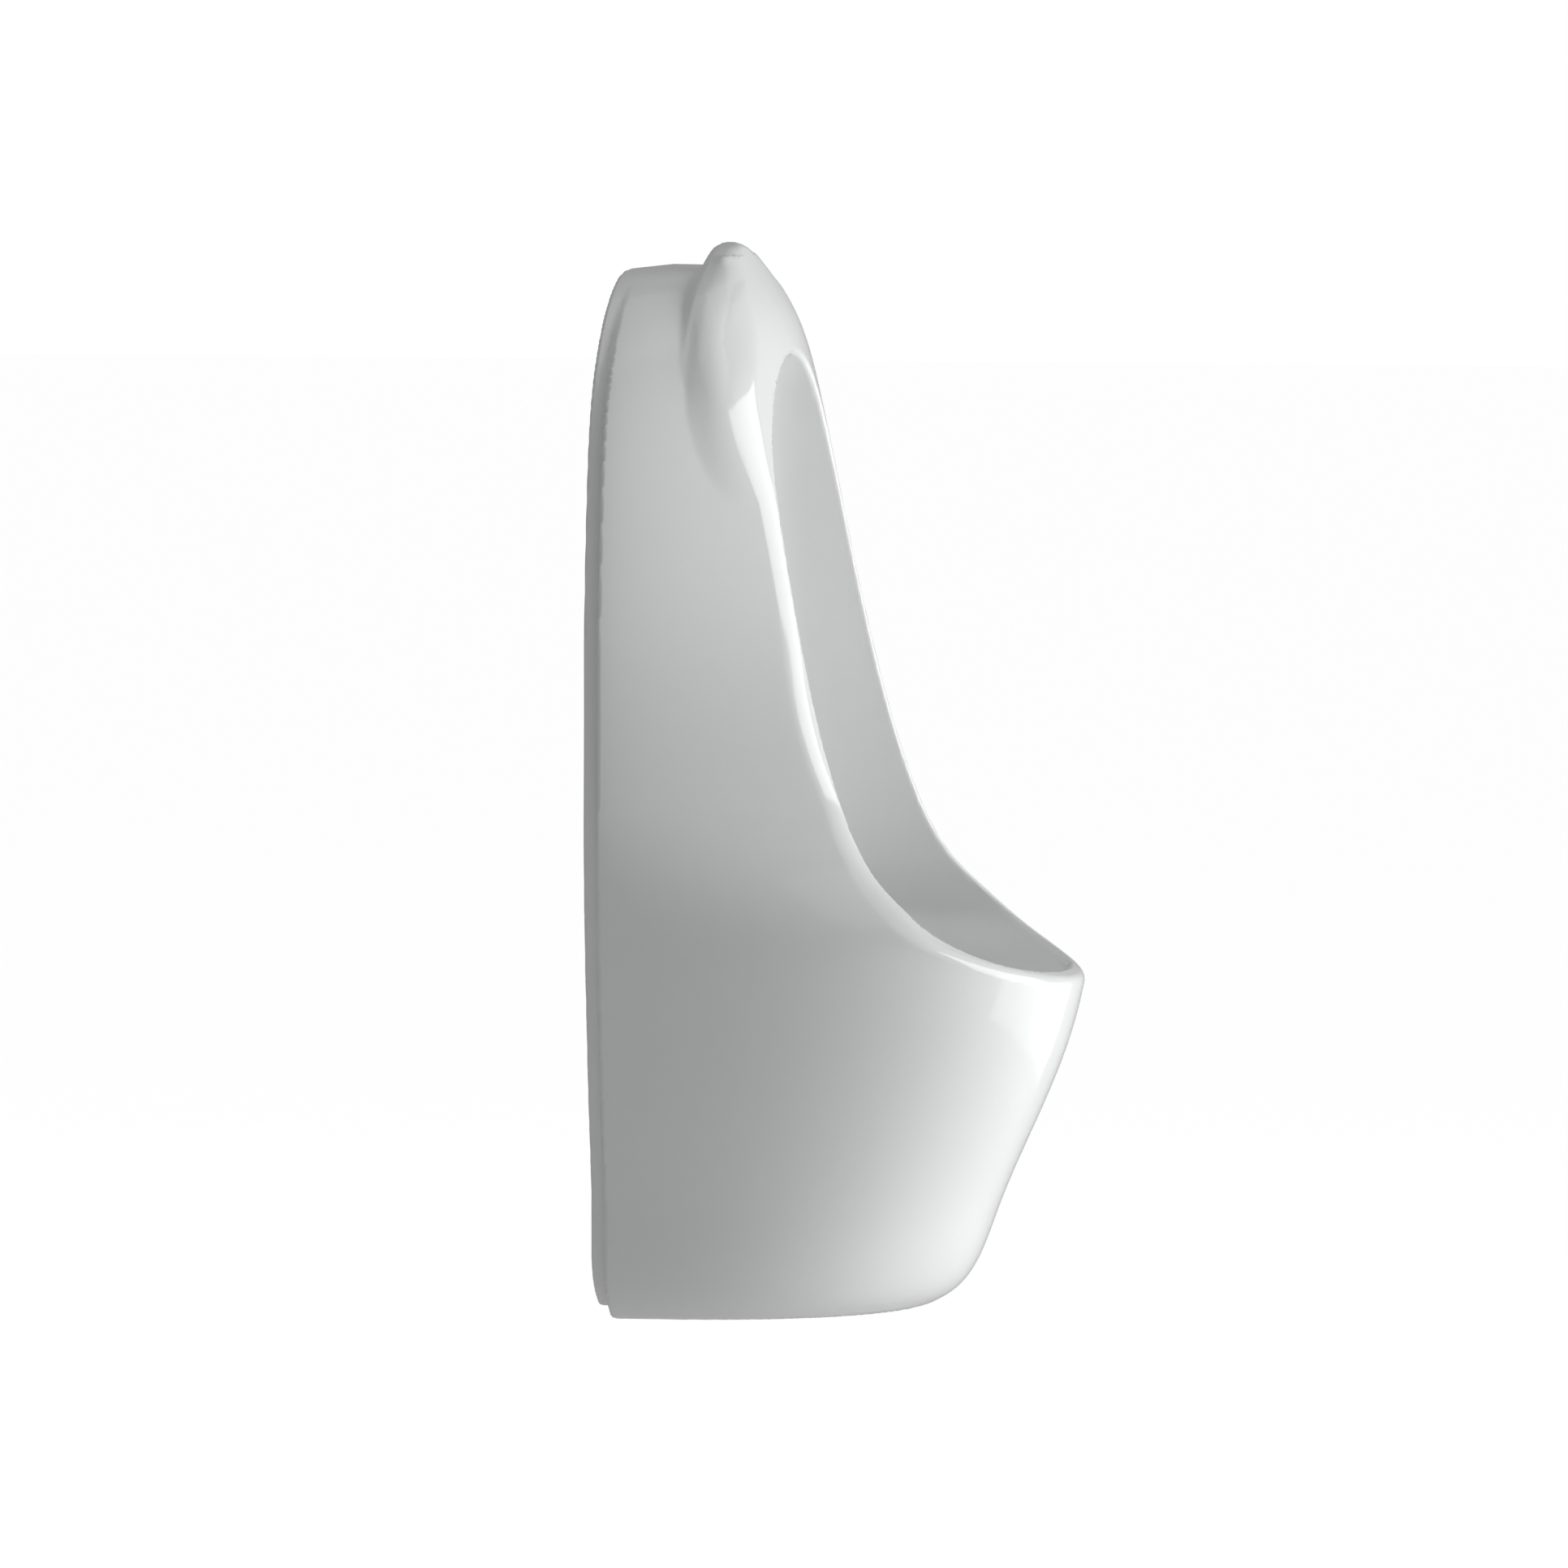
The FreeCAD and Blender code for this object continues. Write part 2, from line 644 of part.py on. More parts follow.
def pocket(name, side):
    outlines = []
    stations = [(under_sump - 1,) + INNER[3][1:]]
    stations += [station for station in ABOVE_SUMP[1:] if station[0] <= size("brow_height")]
    for height, half_width, nose, powers in stations:
        deep = min(size("pocket_depth"), 0.37 * nose)
        outer = half_width_at(deep, half_width, nose, powers)
        beside = [name for name in ("knee", "waist", "chest", "shoulder") if size(name + "_height") <= height]
        inner = size("pocket_inner")
        if beside:
            inner = bowl_half_width_at(deep, beside[-1]) + size("wall_thickness")
        if inner >= outer - size("wall_thickness") / 2:
            continue
        corners = [(inner, OPEN_BACK), (half_width, OPEN_BACK), (outer, deep), (inner, deep)]
        outlines.append((height, [(side * x, depth) for x, depth in corners]))
    return flat_walled(name, outlines)


pockets = [pocket("PocketRight", 1), pocket("PocketLeft", -1)]

# Glazed bars inside the back, which rest on the hanger arms.
LUG_FOOT = "datum_height + hanger_hook_rise + pad_thickness"
lugs = []
for side, name in ((1, "Right"), (-1, "Left")):
    middle = "%d * hanger_spacing / 2 + %d * ( lug_length - hanger_width ) / 2" % (side, side)
    lugs.append(box("Lug" + name, "lug_length", "hanger_hook_reach - hanger_plate - 2 * seat_gap",
                    "lug_height", middle + " - lug_length / 2", "0 - hanger_hook_reach + seat_gap",
                    LUG_FOOT))

inlet_boss = cylinder("InletBoss", "inlet_boss_radius",
                      "wall_thickness + inlet_boss_proud + 2", y="0 - rear_step_depth - bowl_back_depth "
                      "- inlet_boss_proud", z="inlet_height", towards=Vector(0, 1, 0))

back_spaces = [cut("RecessClear", recess, fused("RecessStays", lugs + [inlet_boss])), chamber_space]
back_spaces += [cut(space.Name + "Clear", space, lug) for space, lug in zip(pockets, lugs)]
bowl_clear = cut("BowlClear", bowl, inlet_boss)
waste_hole = cylinder("WasteHole", "waste_hole_radius", "3 * wall_thickness",
                      y="0 - rear_step_depth - sump_depth", z="sump_height - 2 * wall_thickness")
service_hole = cylinder("ServiceHole", "service_hole_radius", "wall_thickness + 2 * service_hole_clearance",
                        y="0 - rear_step_depth - sump_depth", z="0 - service_hole_clearance")
inlet_hole = cylinder("InletHole", "inlet_hole_radius", "bowl_back_depth + 2 * wall_thickness",
                      y="0 - rear_step_depth - bowl_back_depth - wall_thickness", z="inlet_height",
                      towards=Vector(0, 1, 0))
removed = [scoop, bowl_clear] + back_spaces + [waste_hole, service_hole, inlet_hole]
ware = massing
for index, tool in enumerate(removed):
    ware = cut("Ware%d" % (index + 1), ware, tool)
keep(ware, "glazed_body")

# ---------------------------------------------------------------- hangers


def hanger(name, side):
    """A strip bent into a wall plate, an arm and a turned up lip, with two screw holes."""
    left = "%d * hanger_spacing / 2 - hanger_width / 2" % side
    arm_top = "datum_height + hanger_hook_rise"
    plate = box(name + "Plate", "hanger_width", "hanger_plate", "hanger_length", left, "0 - hanger_plate",
                "datum_height - hanger_length / 2")
    arm = box(name + "Arm", "hanger_width", "hanger_hook_reach + hanger_plate", "hanger_plate", left,
              "0 - hanger_hook_reach - hanger_plate", arm_top + " - hanger_plate")
    lip = box(name + "Lip", "hanger_width", "hanger_plate", "hanger_lip + hanger_plate", left,
              "0 - hanger_hook_reach - hanger_plate", arm_top + " - hanger_plate")
    holes = [cylinder("%sHole%d" % (name, index), "hanger_hole_radius", "3 * hanger_plate",
                      x="%d * hanger_spacing / 2" % side, y="0 - 2 * hanger_plate",
                      z="datum_height + %d * hanger_hole_spacing / 2" % index, towards=Vector(0, 1, 0))
             for index in (-1, 1)]
    return cut(name, fused(name + "Strip", [plate, arm, lip]), fused(name + "Holes", holes))


for side, name in ((1, "right"), (-1, "left")):
    keep(hanger("Hanger" + name, side), "hanger_bracket_" + name)
    pad = box("Pad" + name, "hanger_width", "hanger_hook_reach - hanger_plate", "pad_thickness",
              "%d * hanger_spacing / 2 - hanger_width / 2" % side, "0 - hanger_hook_reach",
              "datum_height + hanger_hook_rise")
    keep(cut("Saddle" + name, pad, document.getObject("Hanger" + name)), "hanger_saddle_" + name)

# ---------------------------------------------------------------- waste

AXIS = "rear_step_depth + sump_depth"
FLANGE_SEAT = "sump_height + gasket_thickness"
WASTE_UNDER = "sump_height - wall_thickness"

gasket = ring("WasteGasket", "tail_radius + fit_clearance", "flange_radius", "gasket_thickness")
keep(gasket, "waste_top_gasket", "sump_height", behind=AXIS)

waste = turned("Waste", [
    ("tail_bore", "0 - tail_length"), ("tail_radius", "0 - tail_length"), ("tail_radius", "0"),
    ("flange_radius", "0"), ("flange_radius", "flange_thickness"),
    ("tail_bore", "flange_thickness")])
keep(waste, "waste_flange", FLANGE_SEAT, behind=AXIS)

under_gasket = ring("UnderGasket", "tail_radius + fit_clearance", "under_gasket_radius",
                    "under_gasket_thickness")
keep(under_gasket, "waste_under_gasket", WASTE_UNDER + " - under_gasket_thickness", behind=AXIS)

slip_washer = ring("SlipWasher", "tail_radius + fit_clearance", "under_gasket_radius",
                   "slip_washer_thickness")
keep(slip_washer, "waste_slip_washer",
     WASTE_UNDER + " - under_gasket_thickness - slip_washer_thickness", behind=AXIS)

waste_nut = nut("WasteNut", "waste_nut_circumradius", "tail_radius + fit_clearance / 6", "waste_nut_height")
keep(waste_nut, "waste_backnut",
     WASTE_UNDER + " - under_gasket_thickness - slip_washer_thickness - waste_nut_height", behind=AXIS)


def domed_grid():
    """A pressed dome on a flat rim, with a skirt in the waste and radial slots."""
    body = turned("Grid", [
        ("grid_spigot_radius - grid_thickness", "0 - grid_spigot_length"),
        ("grid_spigot_radius", "0 - grid_spigot_length"), ("grid_spigot_radius", "0"),
        ("grid_radius", "0"), ("grid_radius", "grid_thickness"),
        ("0.86 * grid_radius", "0.45 * grid_rise"), ("0.62 * grid_radius", "0.8 * grid_rise"),
        ("0.3 * grid_radius", "0.97 * grid_rise"), ("0", "grid_rise"),
        ("0", "grid_rise - grid_thickness"), ("0.3 * grid_radius", "0.97 * grid_rise - grid_thickness"),
        ("0.55 * grid_radius", "0.8 * grid_rise - grid_thickness"),
        ("grid_spigot_radius - grid_thickness", "0.5 * grid_rise - grid_thickness")])
    slot = outline(body, "GridSlot", "XY_Plane", [
        ("grid_slot_start", "0 - grid_slot_width / 4"), ("grid_slot_end", "0 - grid_slot_width / 2"),
        ("grid_slot_end", "grid_slot_width / 2"), ("grid_slot_start", "grid_slot_width / 4")])
    pocket = body.newObject("PartDesign::Pocket", "GridSlotCut")
    pocket.Profile = slot
    pocket.Reversed = True
    bind(pocket, Length="grid_rise + grid_thickness")
    document.recompute()
    pattern = body.newObject("PartDesign::PolarPattern", "GridSlots")
    pattern.Originals = [pocket]
    pattern.Axis = (origin_plane(body, "Z_Axis"), [""])
    pattern.Angle = 360
    bind(pattern, Occurrences="grid_slot_count")
    body.Tip = pattern
    document.recompute()
    return body


keep(domed_grid(), "waste_grid", FLANGE_SEAT + " + flange_thickness", behind=AXIS)

# ---------------------------------------------------------------- bottle trap

TAIL_END = FLANGE_SEAT + " - tail_length"
DIP_SEAT = TAIL_END + " - joint_washer_thickness - dip_flange_thickness"
BODY_RADIUS = "( chamber_radius + trap_wall )"

joint_washer = ring("JointWasher", "dip_tube_radius", "tail_radius", "joint_washer_thickness")
keep(joint_washer, "trap_joint_washer", TAIL_END + " - joint_washer_thickness", behind=AXIS)

dip_tube = turned("DipTube", [
    ("dip_tube_radius - dip_tube_wall", "0 - dip_tube_length"), ("dip_tube_radius", "0 - dip_tube_length"),
    ("dip_tube_radius", "0"), ("tail_radius", "0"), ("tail_radius", "dip_flange_thickness"),
    ("dip_tube_radius - dip_tube_wall", "dip_flange_thickness")])
keep(dip_tube, "trap_dip_tube", DIP_SEAT, behind=AXIS)

chamber = turned("Chamber", [
    ("tail_radius + fit_clearance", "0"), ("tail_radius + fit_clearance", "neck_height"),
    ("neck_radius", "neck_height"), ("neck_radius", "0 - neck_shoulder / 2"),
    (BODY_RADIUS, "0 - neck_shoulder"), (BODY_RADIUS, "0 - neck_shoulder - chamber_length"),
    ("chamber_radius", "0 - neck_shoulder - chamber_length"), ("chamber_radius", "0 - neck_shoulder"),
    ("dip_tube_radius + fit_clearance", "0 - neck_shoulder / 2"),
    ("dip_tube_radius + fit_clearance", "0")])


def branched_chamber():
    """The chamber with its outlet branch, bored through to the inside."""
    branch = cylinder("Branch", "branch_radius", "branch_reach - dip_tube_radius - dip_tube_wall",
                      y="dip_tube_radius + dip_tube_wall", z="0 - outlet_drop", towards=Vector(0, 1, 0))
    inside = cylinder("ChamberInside", "chamber_radius", "chamber_length", z="0 - neck_shoulder - chamber_length")
    bore = cylinder("BranchBore", "branch_bore", "branch_reach", y="dip_tube_radius",
                    z="0 - outlet_drop", towards=Vector(0, 1, 0))
    socket = cylinder("BranchSocket", "pipe_radius + fit_clearance", "branch_socket_length + 1",
                      y="branch_reach - branch_socket_length", z="0 - outlet_drop",
                      towards=Vector(0, 1, 0))
    stub = cut("BranchStub", branch, inside)
    whole = fused("ChamberWhole", [chamber, stub])
    return cut("ChamberOpen", whole, fused("BranchWay", [bore, socket]))


keep(branched_chamber(), "trap_body", DIP_SEAT, behind=AXIS)

slip_seal = turned("SlipSeal", [
    ("tail_radius + fit_clearance / 2", "0"), ("neck_radius", "0"),
    ("neck_radius - slip_seal_thickness / 2", "slip_seal_thickness"),
    ("tail_radius + fit_clearance / 2", "slip_seal_thickness")])
keep(slip_seal, "trap_inlet_seal", DIP_SEAT + " + neck_height", behind=AXIS)


def union_nut(name, thread, pipe, seal):
    """A hand nut: a threaded skirt with an inner lip behind its seal."""
    rib = "( " + thread + " + union_nut_wall )"
    return turned(name + "Blank", [
        (thread + " + fit_clearance", "0 - union_nut_skirt"), (rib, "0 - union_nut_skirt"),
        (rib, seal), (rib + " - union_nut_wall / 3", seal + " + union_nut_top"),
        (pipe + " + fit_clearance", seal + " + union_nut_top"),
        (pipe + " + fit_clearance", seal), (thread + " + fit_clearance", seal)])


inlet_nut = union_nut("TrapInletNut", "neck_radius", "tail_radius", "slip_seal_thickness")
keep(inlet_nut, "trap_inlet_nut", DIP_SEAT + " + neck_height", behind=AXIS)

CHAMBER_END = DIP_SEAT + " - neck_shoulder - chamber_length"
cup_seal = ring("CupSeal", "chamber_radius", BODY_RADIUS, "cup_seal_thickness")
keep(cup_seal, "trap_cup_seal", CHAMBER_END + " - cup_seal_thickness", behind=AXIS)

cup = turned("Cup", [
    ("0", "0 - cup_depth - trap_wall"), ("0.8 * chamber_radius", "0 - cup_depth - trap_wall"),
    (BODY_RADIUS + " + trap_wall", "0 - cup_depth + trap_wall"),
    (BODY_RADIUS + " + trap_wall", "cup_seal_thickness + cup_overlap"),
    (BODY_RADIUS + " + fit_clearance", "cup_seal_thickness + cup_overlap"),
    (BODY_RADIUS + " + fit_clearance", "0"), ("chamber_radius", "0"),
    ("chamber_radius", "0 - cup_depth + trap_wall"), ("0.75 * chamber_radius", "0 - cup_depth"),
    ("0", "0 - cup_depth")])
keep(cup, "trap_cup", CHAMBER_END + " - cup_seal_thickness", behind=AXIS)

# ---------------------------------------------------------------- outlet to the wall

OUTLET_HEIGHT = DIP_SEAT + " - outlet_drop"
BRANCH_END = AXIS + " - branch_reach"

outlet_seal = turned("OutletSeal", [
    ("pipe_radius + fit_clearance / 2", "0"), ("branch_radius", "0"),
    ("branch_radius - outlet_seal_thickness / 2", "outlet_seal_thickness"),
    ("pipe_radius + fit_clearance / 2", "outlet_seal_thickness")])
outlet_nut = union_nut("OutletNut", "branch_radius", "pipe_radius", "outlet_seal_thickness")
PIPE_BACK = "0 - branch_socket_length + fit_clearance"
MOUTH = AXIS + " - branch_reach - socket_inset"
SOCKET = MOUTH + " - socket_length"
GROOVE = MOUTH + " - socket_seal_place"
outlet_pipe = turned("OutletPipe", [
    ("pipe_radius - pipe_wall", PIPE_BACK), ("pipe_radius", PIPE_BACK),
    ("pipe_radius", SOCKET + " - 2 * socket_wall"), ("socket_bore + socket_wall", SOCKET),
    ("socket_bore + socket_wall", MOUTH), ("socket_bore", MOUTH), ("socket_bore", GROOVE),
    ("socket_bore + socket_seal_depth", GROOVE),
    ("socket_bore + socket_seal_depth", GROOVE + " - socket_seal_width"),
    ("socket_bore", GROOVE + " - socket_seal_width"), ("socket_bore", SOCKET),
    ("pipe_radius - pipe_wall", SOCKET)])
socket_seal = ring("SocketSeal", "socket_bore", "socket_bore + socket_seal_depth", "socket_seal_width")

for piece, label, place in (
        (outlet_seal, "trap_outlet_seal", BRANCH_END), (outlet_nut, "trap_outlet_nut", BRANCH_END),
        (outlet_pipe, "outlet_pipe", BRANCH_END),
        (socket_seal, "outlet_socket_seal", "socket_inset + socket_seal_place + socket_seal_width")):
    lay_along_wall_axis(piece)
    keep(piece, label, OUTLET_HEIGHT, behind=place)

# ---------------------------------------------------------------- flush inlet

BOSS_FACE = "rear_step_depth + bowl_back_depth + inlet_boss_proud"
BACK_FACE = "rear_step_depth + bowl_back_depth - wall_thickness - 2 + inlet_washer_thickness"

front_washer = ring("FrontWasher", "inlet_tail_radius + fit_clearance", "inlet_washer_radius",
                    "inlet_washer_thickness")
back_washer = ring("BackWasher", "inlet_tail_radius + fit_clearance", "inlet_washer_radius",
                   "inlet_washer_thickness")
inlet_nut_body = nut("InletNut", "inlet_nut_circumradius", "inlet_tail_radius + fit_clearance / 6",
                     "inlet_nut_height")


def spreader():
    """A rose with a blunt nozzle in front, a threaded tail behind and a fan of spray holes."""
    seat = "inlet_washer_thickness"
    tail = BOSS_FACE + " - inlet_tail_inset"
    body = turned("Spreader", [
        ("0", "0 - " + seat + " - rose_thickness - nozzle_length"),
        ("0.7 * nozzle_radius", "0 - " + seat + " - rose_thickness - 0.93 * nozzle_length"),
        ("nozzle_radius", "0 - " + seat + " - rose_thickness - 0.6 * nozzle_length"),
        ("nozzle_radius", "0 - " + seat + " - rose_thickness"),
        ("0.8 * rose_radius", "0 - " + seat + " - rose_thickness"),
        ("rose_radius", "0 - " + seat + " - 0.4 * rose_thickness"), ("rose_radius", "0 - " + seat),
        ("inlet_tail_radius", "0 - " + seat), ("inlet_tail_radius", tail + " - inlet_spigot_length"),
        ("inlet_spigot_radius", tail + " - inlet_spigot_length"), ("inlet_spigot_radius", tail),
        ("inlet_tail_bore", tail),
        ("inlet_tail_bore", "0 - " + seat + " - rose_thickness - 0.5 * nozzle_length"),
        ("0", "0 - " + seat + " - rose_thickness - 0.5 * nozzle_length")])
    return body


def sprayed(body):
    """The spreader with its spray holes, in a fan across the lower half."""
    count = int(size("nozzle_hole_count"))
    drills = []
    for index in range(count):
        turn = math.radians(180 + 180 * index / (count - 1))
        drills.append(cylinder("Spray%d" % (index + 1), "nozzle_hole_radius", "nozzle_radius + 2",
                               z="0 - inlet_washer_thickness - rose_thickness - 0.3 * nozzle_length",
                               towards=Vector(math.cos(turn), -math.sin(turn), 0)))
    return cut("SprayedSpreader", body, fused("SprayHoles", drills))


for piece, label, place in (
        (front_washer, "inlet_front_washer", BOSS_FACE + " + inlet_washer_thickness"),
        (back_washer, "inlet_back_washer", BACK_FACE + " - inlet_washer_thickness"),
        (inlet_nut_body, "inlet_backnut", BACK_FACE + " - 2 * inlet_washer_thickness"),
        (sprayed(spreader()), "flush_spreader", BOSS_FACE)):
    lay_along_wall_axis(piece)
    keep(piece, label, "inlet_height", behind=place)

# ---------------------------------------------------------------- check and write

document.recompute()

for item in document.Objects:
    if {"Invalid", "Error"} & set(item.State):
        raise RuntimeError(item.Label + " failed: " + ", ".join(item.State))
os.makedirs("parts", exist_ok=True)
for item in SUBPARTS:
    if item.Shape.isNull() or not item.Shape.isValid() or len(item.Shape.Solids) != 1:
        raise RuntimeError(item.Label + " is not one valid solid")
    item.Shape.exportStep("parts/" + item.Label + ".step")
    box_size = item.Shape.BoundBox
    print("%-26s solids %d volume %10.0f  x %7.1f %7.1f  y %7.1f %7.1f  z %7.1f %7.1f" % (
        item.Label, len(item.Shape.Solids), item.Shape.Volume, box_size.XMin, box_size.XMax,
        box_size.YMin, box_size.YMax, box_size.ZMin, box_size.ZMax))
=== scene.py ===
import json
import math

import bpy
import numpy as np
from mathutils import Matrix, Vector


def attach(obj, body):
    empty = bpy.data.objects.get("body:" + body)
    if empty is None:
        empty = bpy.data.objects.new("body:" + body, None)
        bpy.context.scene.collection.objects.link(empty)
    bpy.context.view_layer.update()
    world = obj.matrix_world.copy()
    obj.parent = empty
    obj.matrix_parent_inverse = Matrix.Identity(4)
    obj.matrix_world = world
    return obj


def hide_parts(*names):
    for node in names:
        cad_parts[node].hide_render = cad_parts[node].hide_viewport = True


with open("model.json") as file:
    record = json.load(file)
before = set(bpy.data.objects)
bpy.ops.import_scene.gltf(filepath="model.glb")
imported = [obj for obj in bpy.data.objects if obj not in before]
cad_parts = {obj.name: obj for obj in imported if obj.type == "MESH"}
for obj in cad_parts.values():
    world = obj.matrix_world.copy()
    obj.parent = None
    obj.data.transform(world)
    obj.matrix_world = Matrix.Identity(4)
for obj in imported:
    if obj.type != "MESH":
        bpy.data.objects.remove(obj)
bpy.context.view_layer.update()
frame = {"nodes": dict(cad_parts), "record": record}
nodes = frame["nodes"]

MM = 0.001
# Heights of the ware are measured up from its underside and depths forward from the back of its
# front shell, in millimetres. The datum is on the wall, at the centre of the hanger screws.
DATUM_HEIGHT = 590.0
REAR_STEP = 9.4

# ---------------------------------------------------------------- materials


def linear(hex_colour):
    """sRGB hex to the linear colour that a shader takes."""
    parts = [int(hex_colour[i:i + 2], 16) / 255 for i in (1, 3, 5)]
    return [p / 12.92 if p <= 0.04045 else ((p + 0.055) / 1.055) ** 2.4 for p in parts] + [1.0]


def add_node(tree, kind, links=(), **settings):
    """A node with its settings (sockets by their name) and its links (socket, source socket)."""
    node = tree.nodes.new(kind)
    for name, value in settings.items():
        if hasattr(node, name):
            setattr(node, name, value)
        else:
            node.inputs[name.replace("_", " ")].default_value = value
    for socket, source in links:
        tree.links.new(source, node.inputs[socket])
    return node


def surface(name, colour, roughness, metallic=0.0, ior=1.5, grain_mm=0.0, relief_mm=0.0, stretch=(1, 1, 1)):
    """A principled finish, with a fine relief of the given grain where it has one."""
    material = bpy.data.materials.new(name)
    material.use_nodes = True
    tree = material.node_tree
    shader = tree.nodes["Principled BSDF"]
    shader.inputs["Base Color"].default_value = linear(colour)
    shader.inputs["Roughness"].default_value = roughness
    shader.inputs["Metallic"].default_value = metallic
    if metallic == 0:
        shader.inputs["IOR"].default_value = ior
    if grain_mm:
        place = add_node(tree, "ShaderNodeTexCoord")
        spread = add_node(tree, "ShaderNodeMapping", [("Vector", place.outputs["Object"])], Scale=stretch)
        noise = add_node(tree, "ShaderNodeTexNoise", [("Vector", spread.outputs["Vector"])],
                         Scale=1 / (grain_mm * MM), Detail=1.0)
        bump = add_node(tree, "ShaderNodeBump", [("Height", noise.outputs["Fac"])],
                        Distance=relief_mm * MM, Strength=1.0)
        tree.links.new(bump.outputs["Normal"], shader.inputs["Normal"])
    return material


# Vitreous china under a white glaze: a clear glossy skin, which flows into very faint soft waves.
GLAZED_CHINA = surface("vitreous_china_white_glaze", "#EBECEC", 0.09, ior=1.52, grain_mm=26, relief_mm=0.05)
# Zinc plated strip steel: bluish grey, with a soft sheen and faint rolling marks along the strip.
ZINC_STEEL = surface("zinc_plated_strip_steel", "#A9ADB2", 0.34, metallic=1.0, grain_mm=1.2, relief_mm=0.01,
                     stretch=(1, 1, 0.15))
# Chromium plated brass: a mirror with a cool tint.
CHROMED_BRASS = surface("chromium_plated_brass", "#D3D6D9", 0.08, metallic=1.0)
# Turned yellow brass, left bright.
TURNED_BRASS = surface("turned_yellow_brass", "#C9A45C", 0.26, metallic=1.0)
# Pressed and polished stainless steel.
POLISHED_STEEL = surface("polished_stainless_steel", "#C2C3C4", 0.16, metallic=1.0)
# Moulded polypropylene, white: waxy, with a soft sheen.
WHITE_POLYPROPYLENE = surface("moulded_white_polypropylene", "#E4E4DF", 0.38, ior=1.49, grain_mm=0.8,
                              relief_mm=0.008)
# Moulded polyamide, grey: a little duller.
GREY_POLYAMIDE = surface("moulded_grey_polyamide", "#77797B", 0.5, ior=1.53)
# Moulded nitrile rubber, black: dull, with a faint bloom.
BLACK_RUBBER = surface("moulded_black_rubber", "#1B1B1C", 0.62, ior=1.52)

FINISHES = {
    "glazed_china": GLAZED_CHINA, "zinc_steel": ZINC_STEEL, "chromed_brass": CHROMED_BRASS,
    "plain_brass": TURNED_BRASS, "stainless": POLISHED_STEEL, "white_plastic": WHITE_POLYPROPYLENE,
    "grey_plastic": GREY_POLYAMIDE, "black_rubber": BLACK_RUBBER,
}
SLOT_OF = {entry["node"]: entry["material_slot"] for entry in frame["record"]["subparts"]}
BODY_OF = {node: body
           for body, members in frame["record"]["behaviour"]["bodies"].items() for node in members}

# ---------------------------------------------------------------- the shape of the ware

# Stations of the shell: height, half width at the back, and depth at which the section would close.
FOOT = [(0, 138, 172), (10, 148, 190), (62, 156, 219), (130, 163, 249), (188, 168.5, 271),
        (215, 171, 277.6), (232, 172.3, 285)]
# The same above the lip: height, half width at the back, half width and depth of the rim there.
SIDES = [(247, 173, 130, 228), (262, 174, 128, 210.5), (286, 175, 119.5, 185), (340, 175, 111, 156),
         (440, 173.5, 101.5, 127), (520, 167, 94, 109.5), (600, 148, 85, 92)]
# Plan sections follow (x/w)^a + (d/n)^b = 1: full and round up to the lip, and above it nearly flat
# from the back edge to the rim, which cuts them off. Height, a, b.
POWERS = [(0, 2.0, 2.6), (190, 2.0, 2.6), (225, 1.95, 2.52), (247, 1.8, 2.3), (270, 1.55, 1.93),
          (300, 1.3, 1.5), (340, 1.14, 1.25), (400, 1.1, 1.2), (700, 1.1, 1.2)]
ROUND = (2.0, 2.6)
BROW, LEDGE, CREST = 600.0, 664.0, 680.0
CREST_DEPTH, HOOD_BACK = 57.0, 45.0
# Hood: height, half width behind the rim, and depth at which its section would close.
HOOD = [(520, 112, 112), (545, 118, 106), (570, 119, 99), (597, 114.5, 92), (618, 104.5, 82), (636, 93, 77),
        (650, 79, 75.5), (660, 61, 75), (666, 48.5, 74), (671, 38, 72.5), (676, 24, 69), (680, 5, 65)]
# The rim: its width, and how far its sides at BOW_HALF_WIDTH stand behind its middle.
RIM_WIDTH, RIM_BOW, BOW_HALF_WIDTH = 11.5, 11.0, 85.0
# The bowl closes upwards in a vault, between these two heights.
SPRING, APEX, VAULT_POWER = 520.0, 616.0, 2.4
WALL = 12.0
BOWL_BACK, BOWL_OVERRUN = 24.0, 62.0
SUMP, SUMP_DEPTH, SUMP_RADIUS = 140.0, 95.0, 43.0
# The rear step and the rear crest, against the front ones.
STEP_RISE, STEP_INSET, STEP_LAP, REAR_SHIFT = 8.0, 3.5, 3.0, 8.7
# Radii of the glazed edges and of the filled corners.
LEDGE_EDGE, BACK_EDGE, FOOT_EDGE, RIM_EDGE, HOOD_EDGE, BOWL_EDGE = 5.0, 2.2, 3.0, 5.0, 6.0, 4.5
STEP_CORNER, REAR_HOOD_CORNER, HOOD_CORNER, INNER_CORNER = 3.0, 3.5, 7.0, 4.0
# Hidden back: pockets beside the bowl, chamber of the trap, bars on the hangers, and the holes.
POCKET_DEPTH, POCKET_FOOT, POCKET_TOP = 45.0, 127.0, 590.0
POCKET_INSIDE = ((240, 286, 340), (128, 112, 104))
CHAMBER_DEPTH = 190.0
LUG_MIDDLE, LUG_HALF_LENGTH, LUG_HEIGHT, LUG_HALF_HEIGHT = 101.0, 29.0, 626.5, 9.0
LUG_REACH = (3.3, 16.7)
INLET_HEIGHT, INLET_HOLE, INLET_BOSS, BOSS_PROUD, BOSS_BEHIND = 556.0, 11.5, 23.0, 3.0, 2.0
WASTE_HOLE, SERVICE_HOLE = 26.0, 46.0


def rim_bow(x):
    """How far the rim stands back at x, behind its middle."""
    return RIM_BOW * (x / BOW_HALF_WIDTH) ** 2


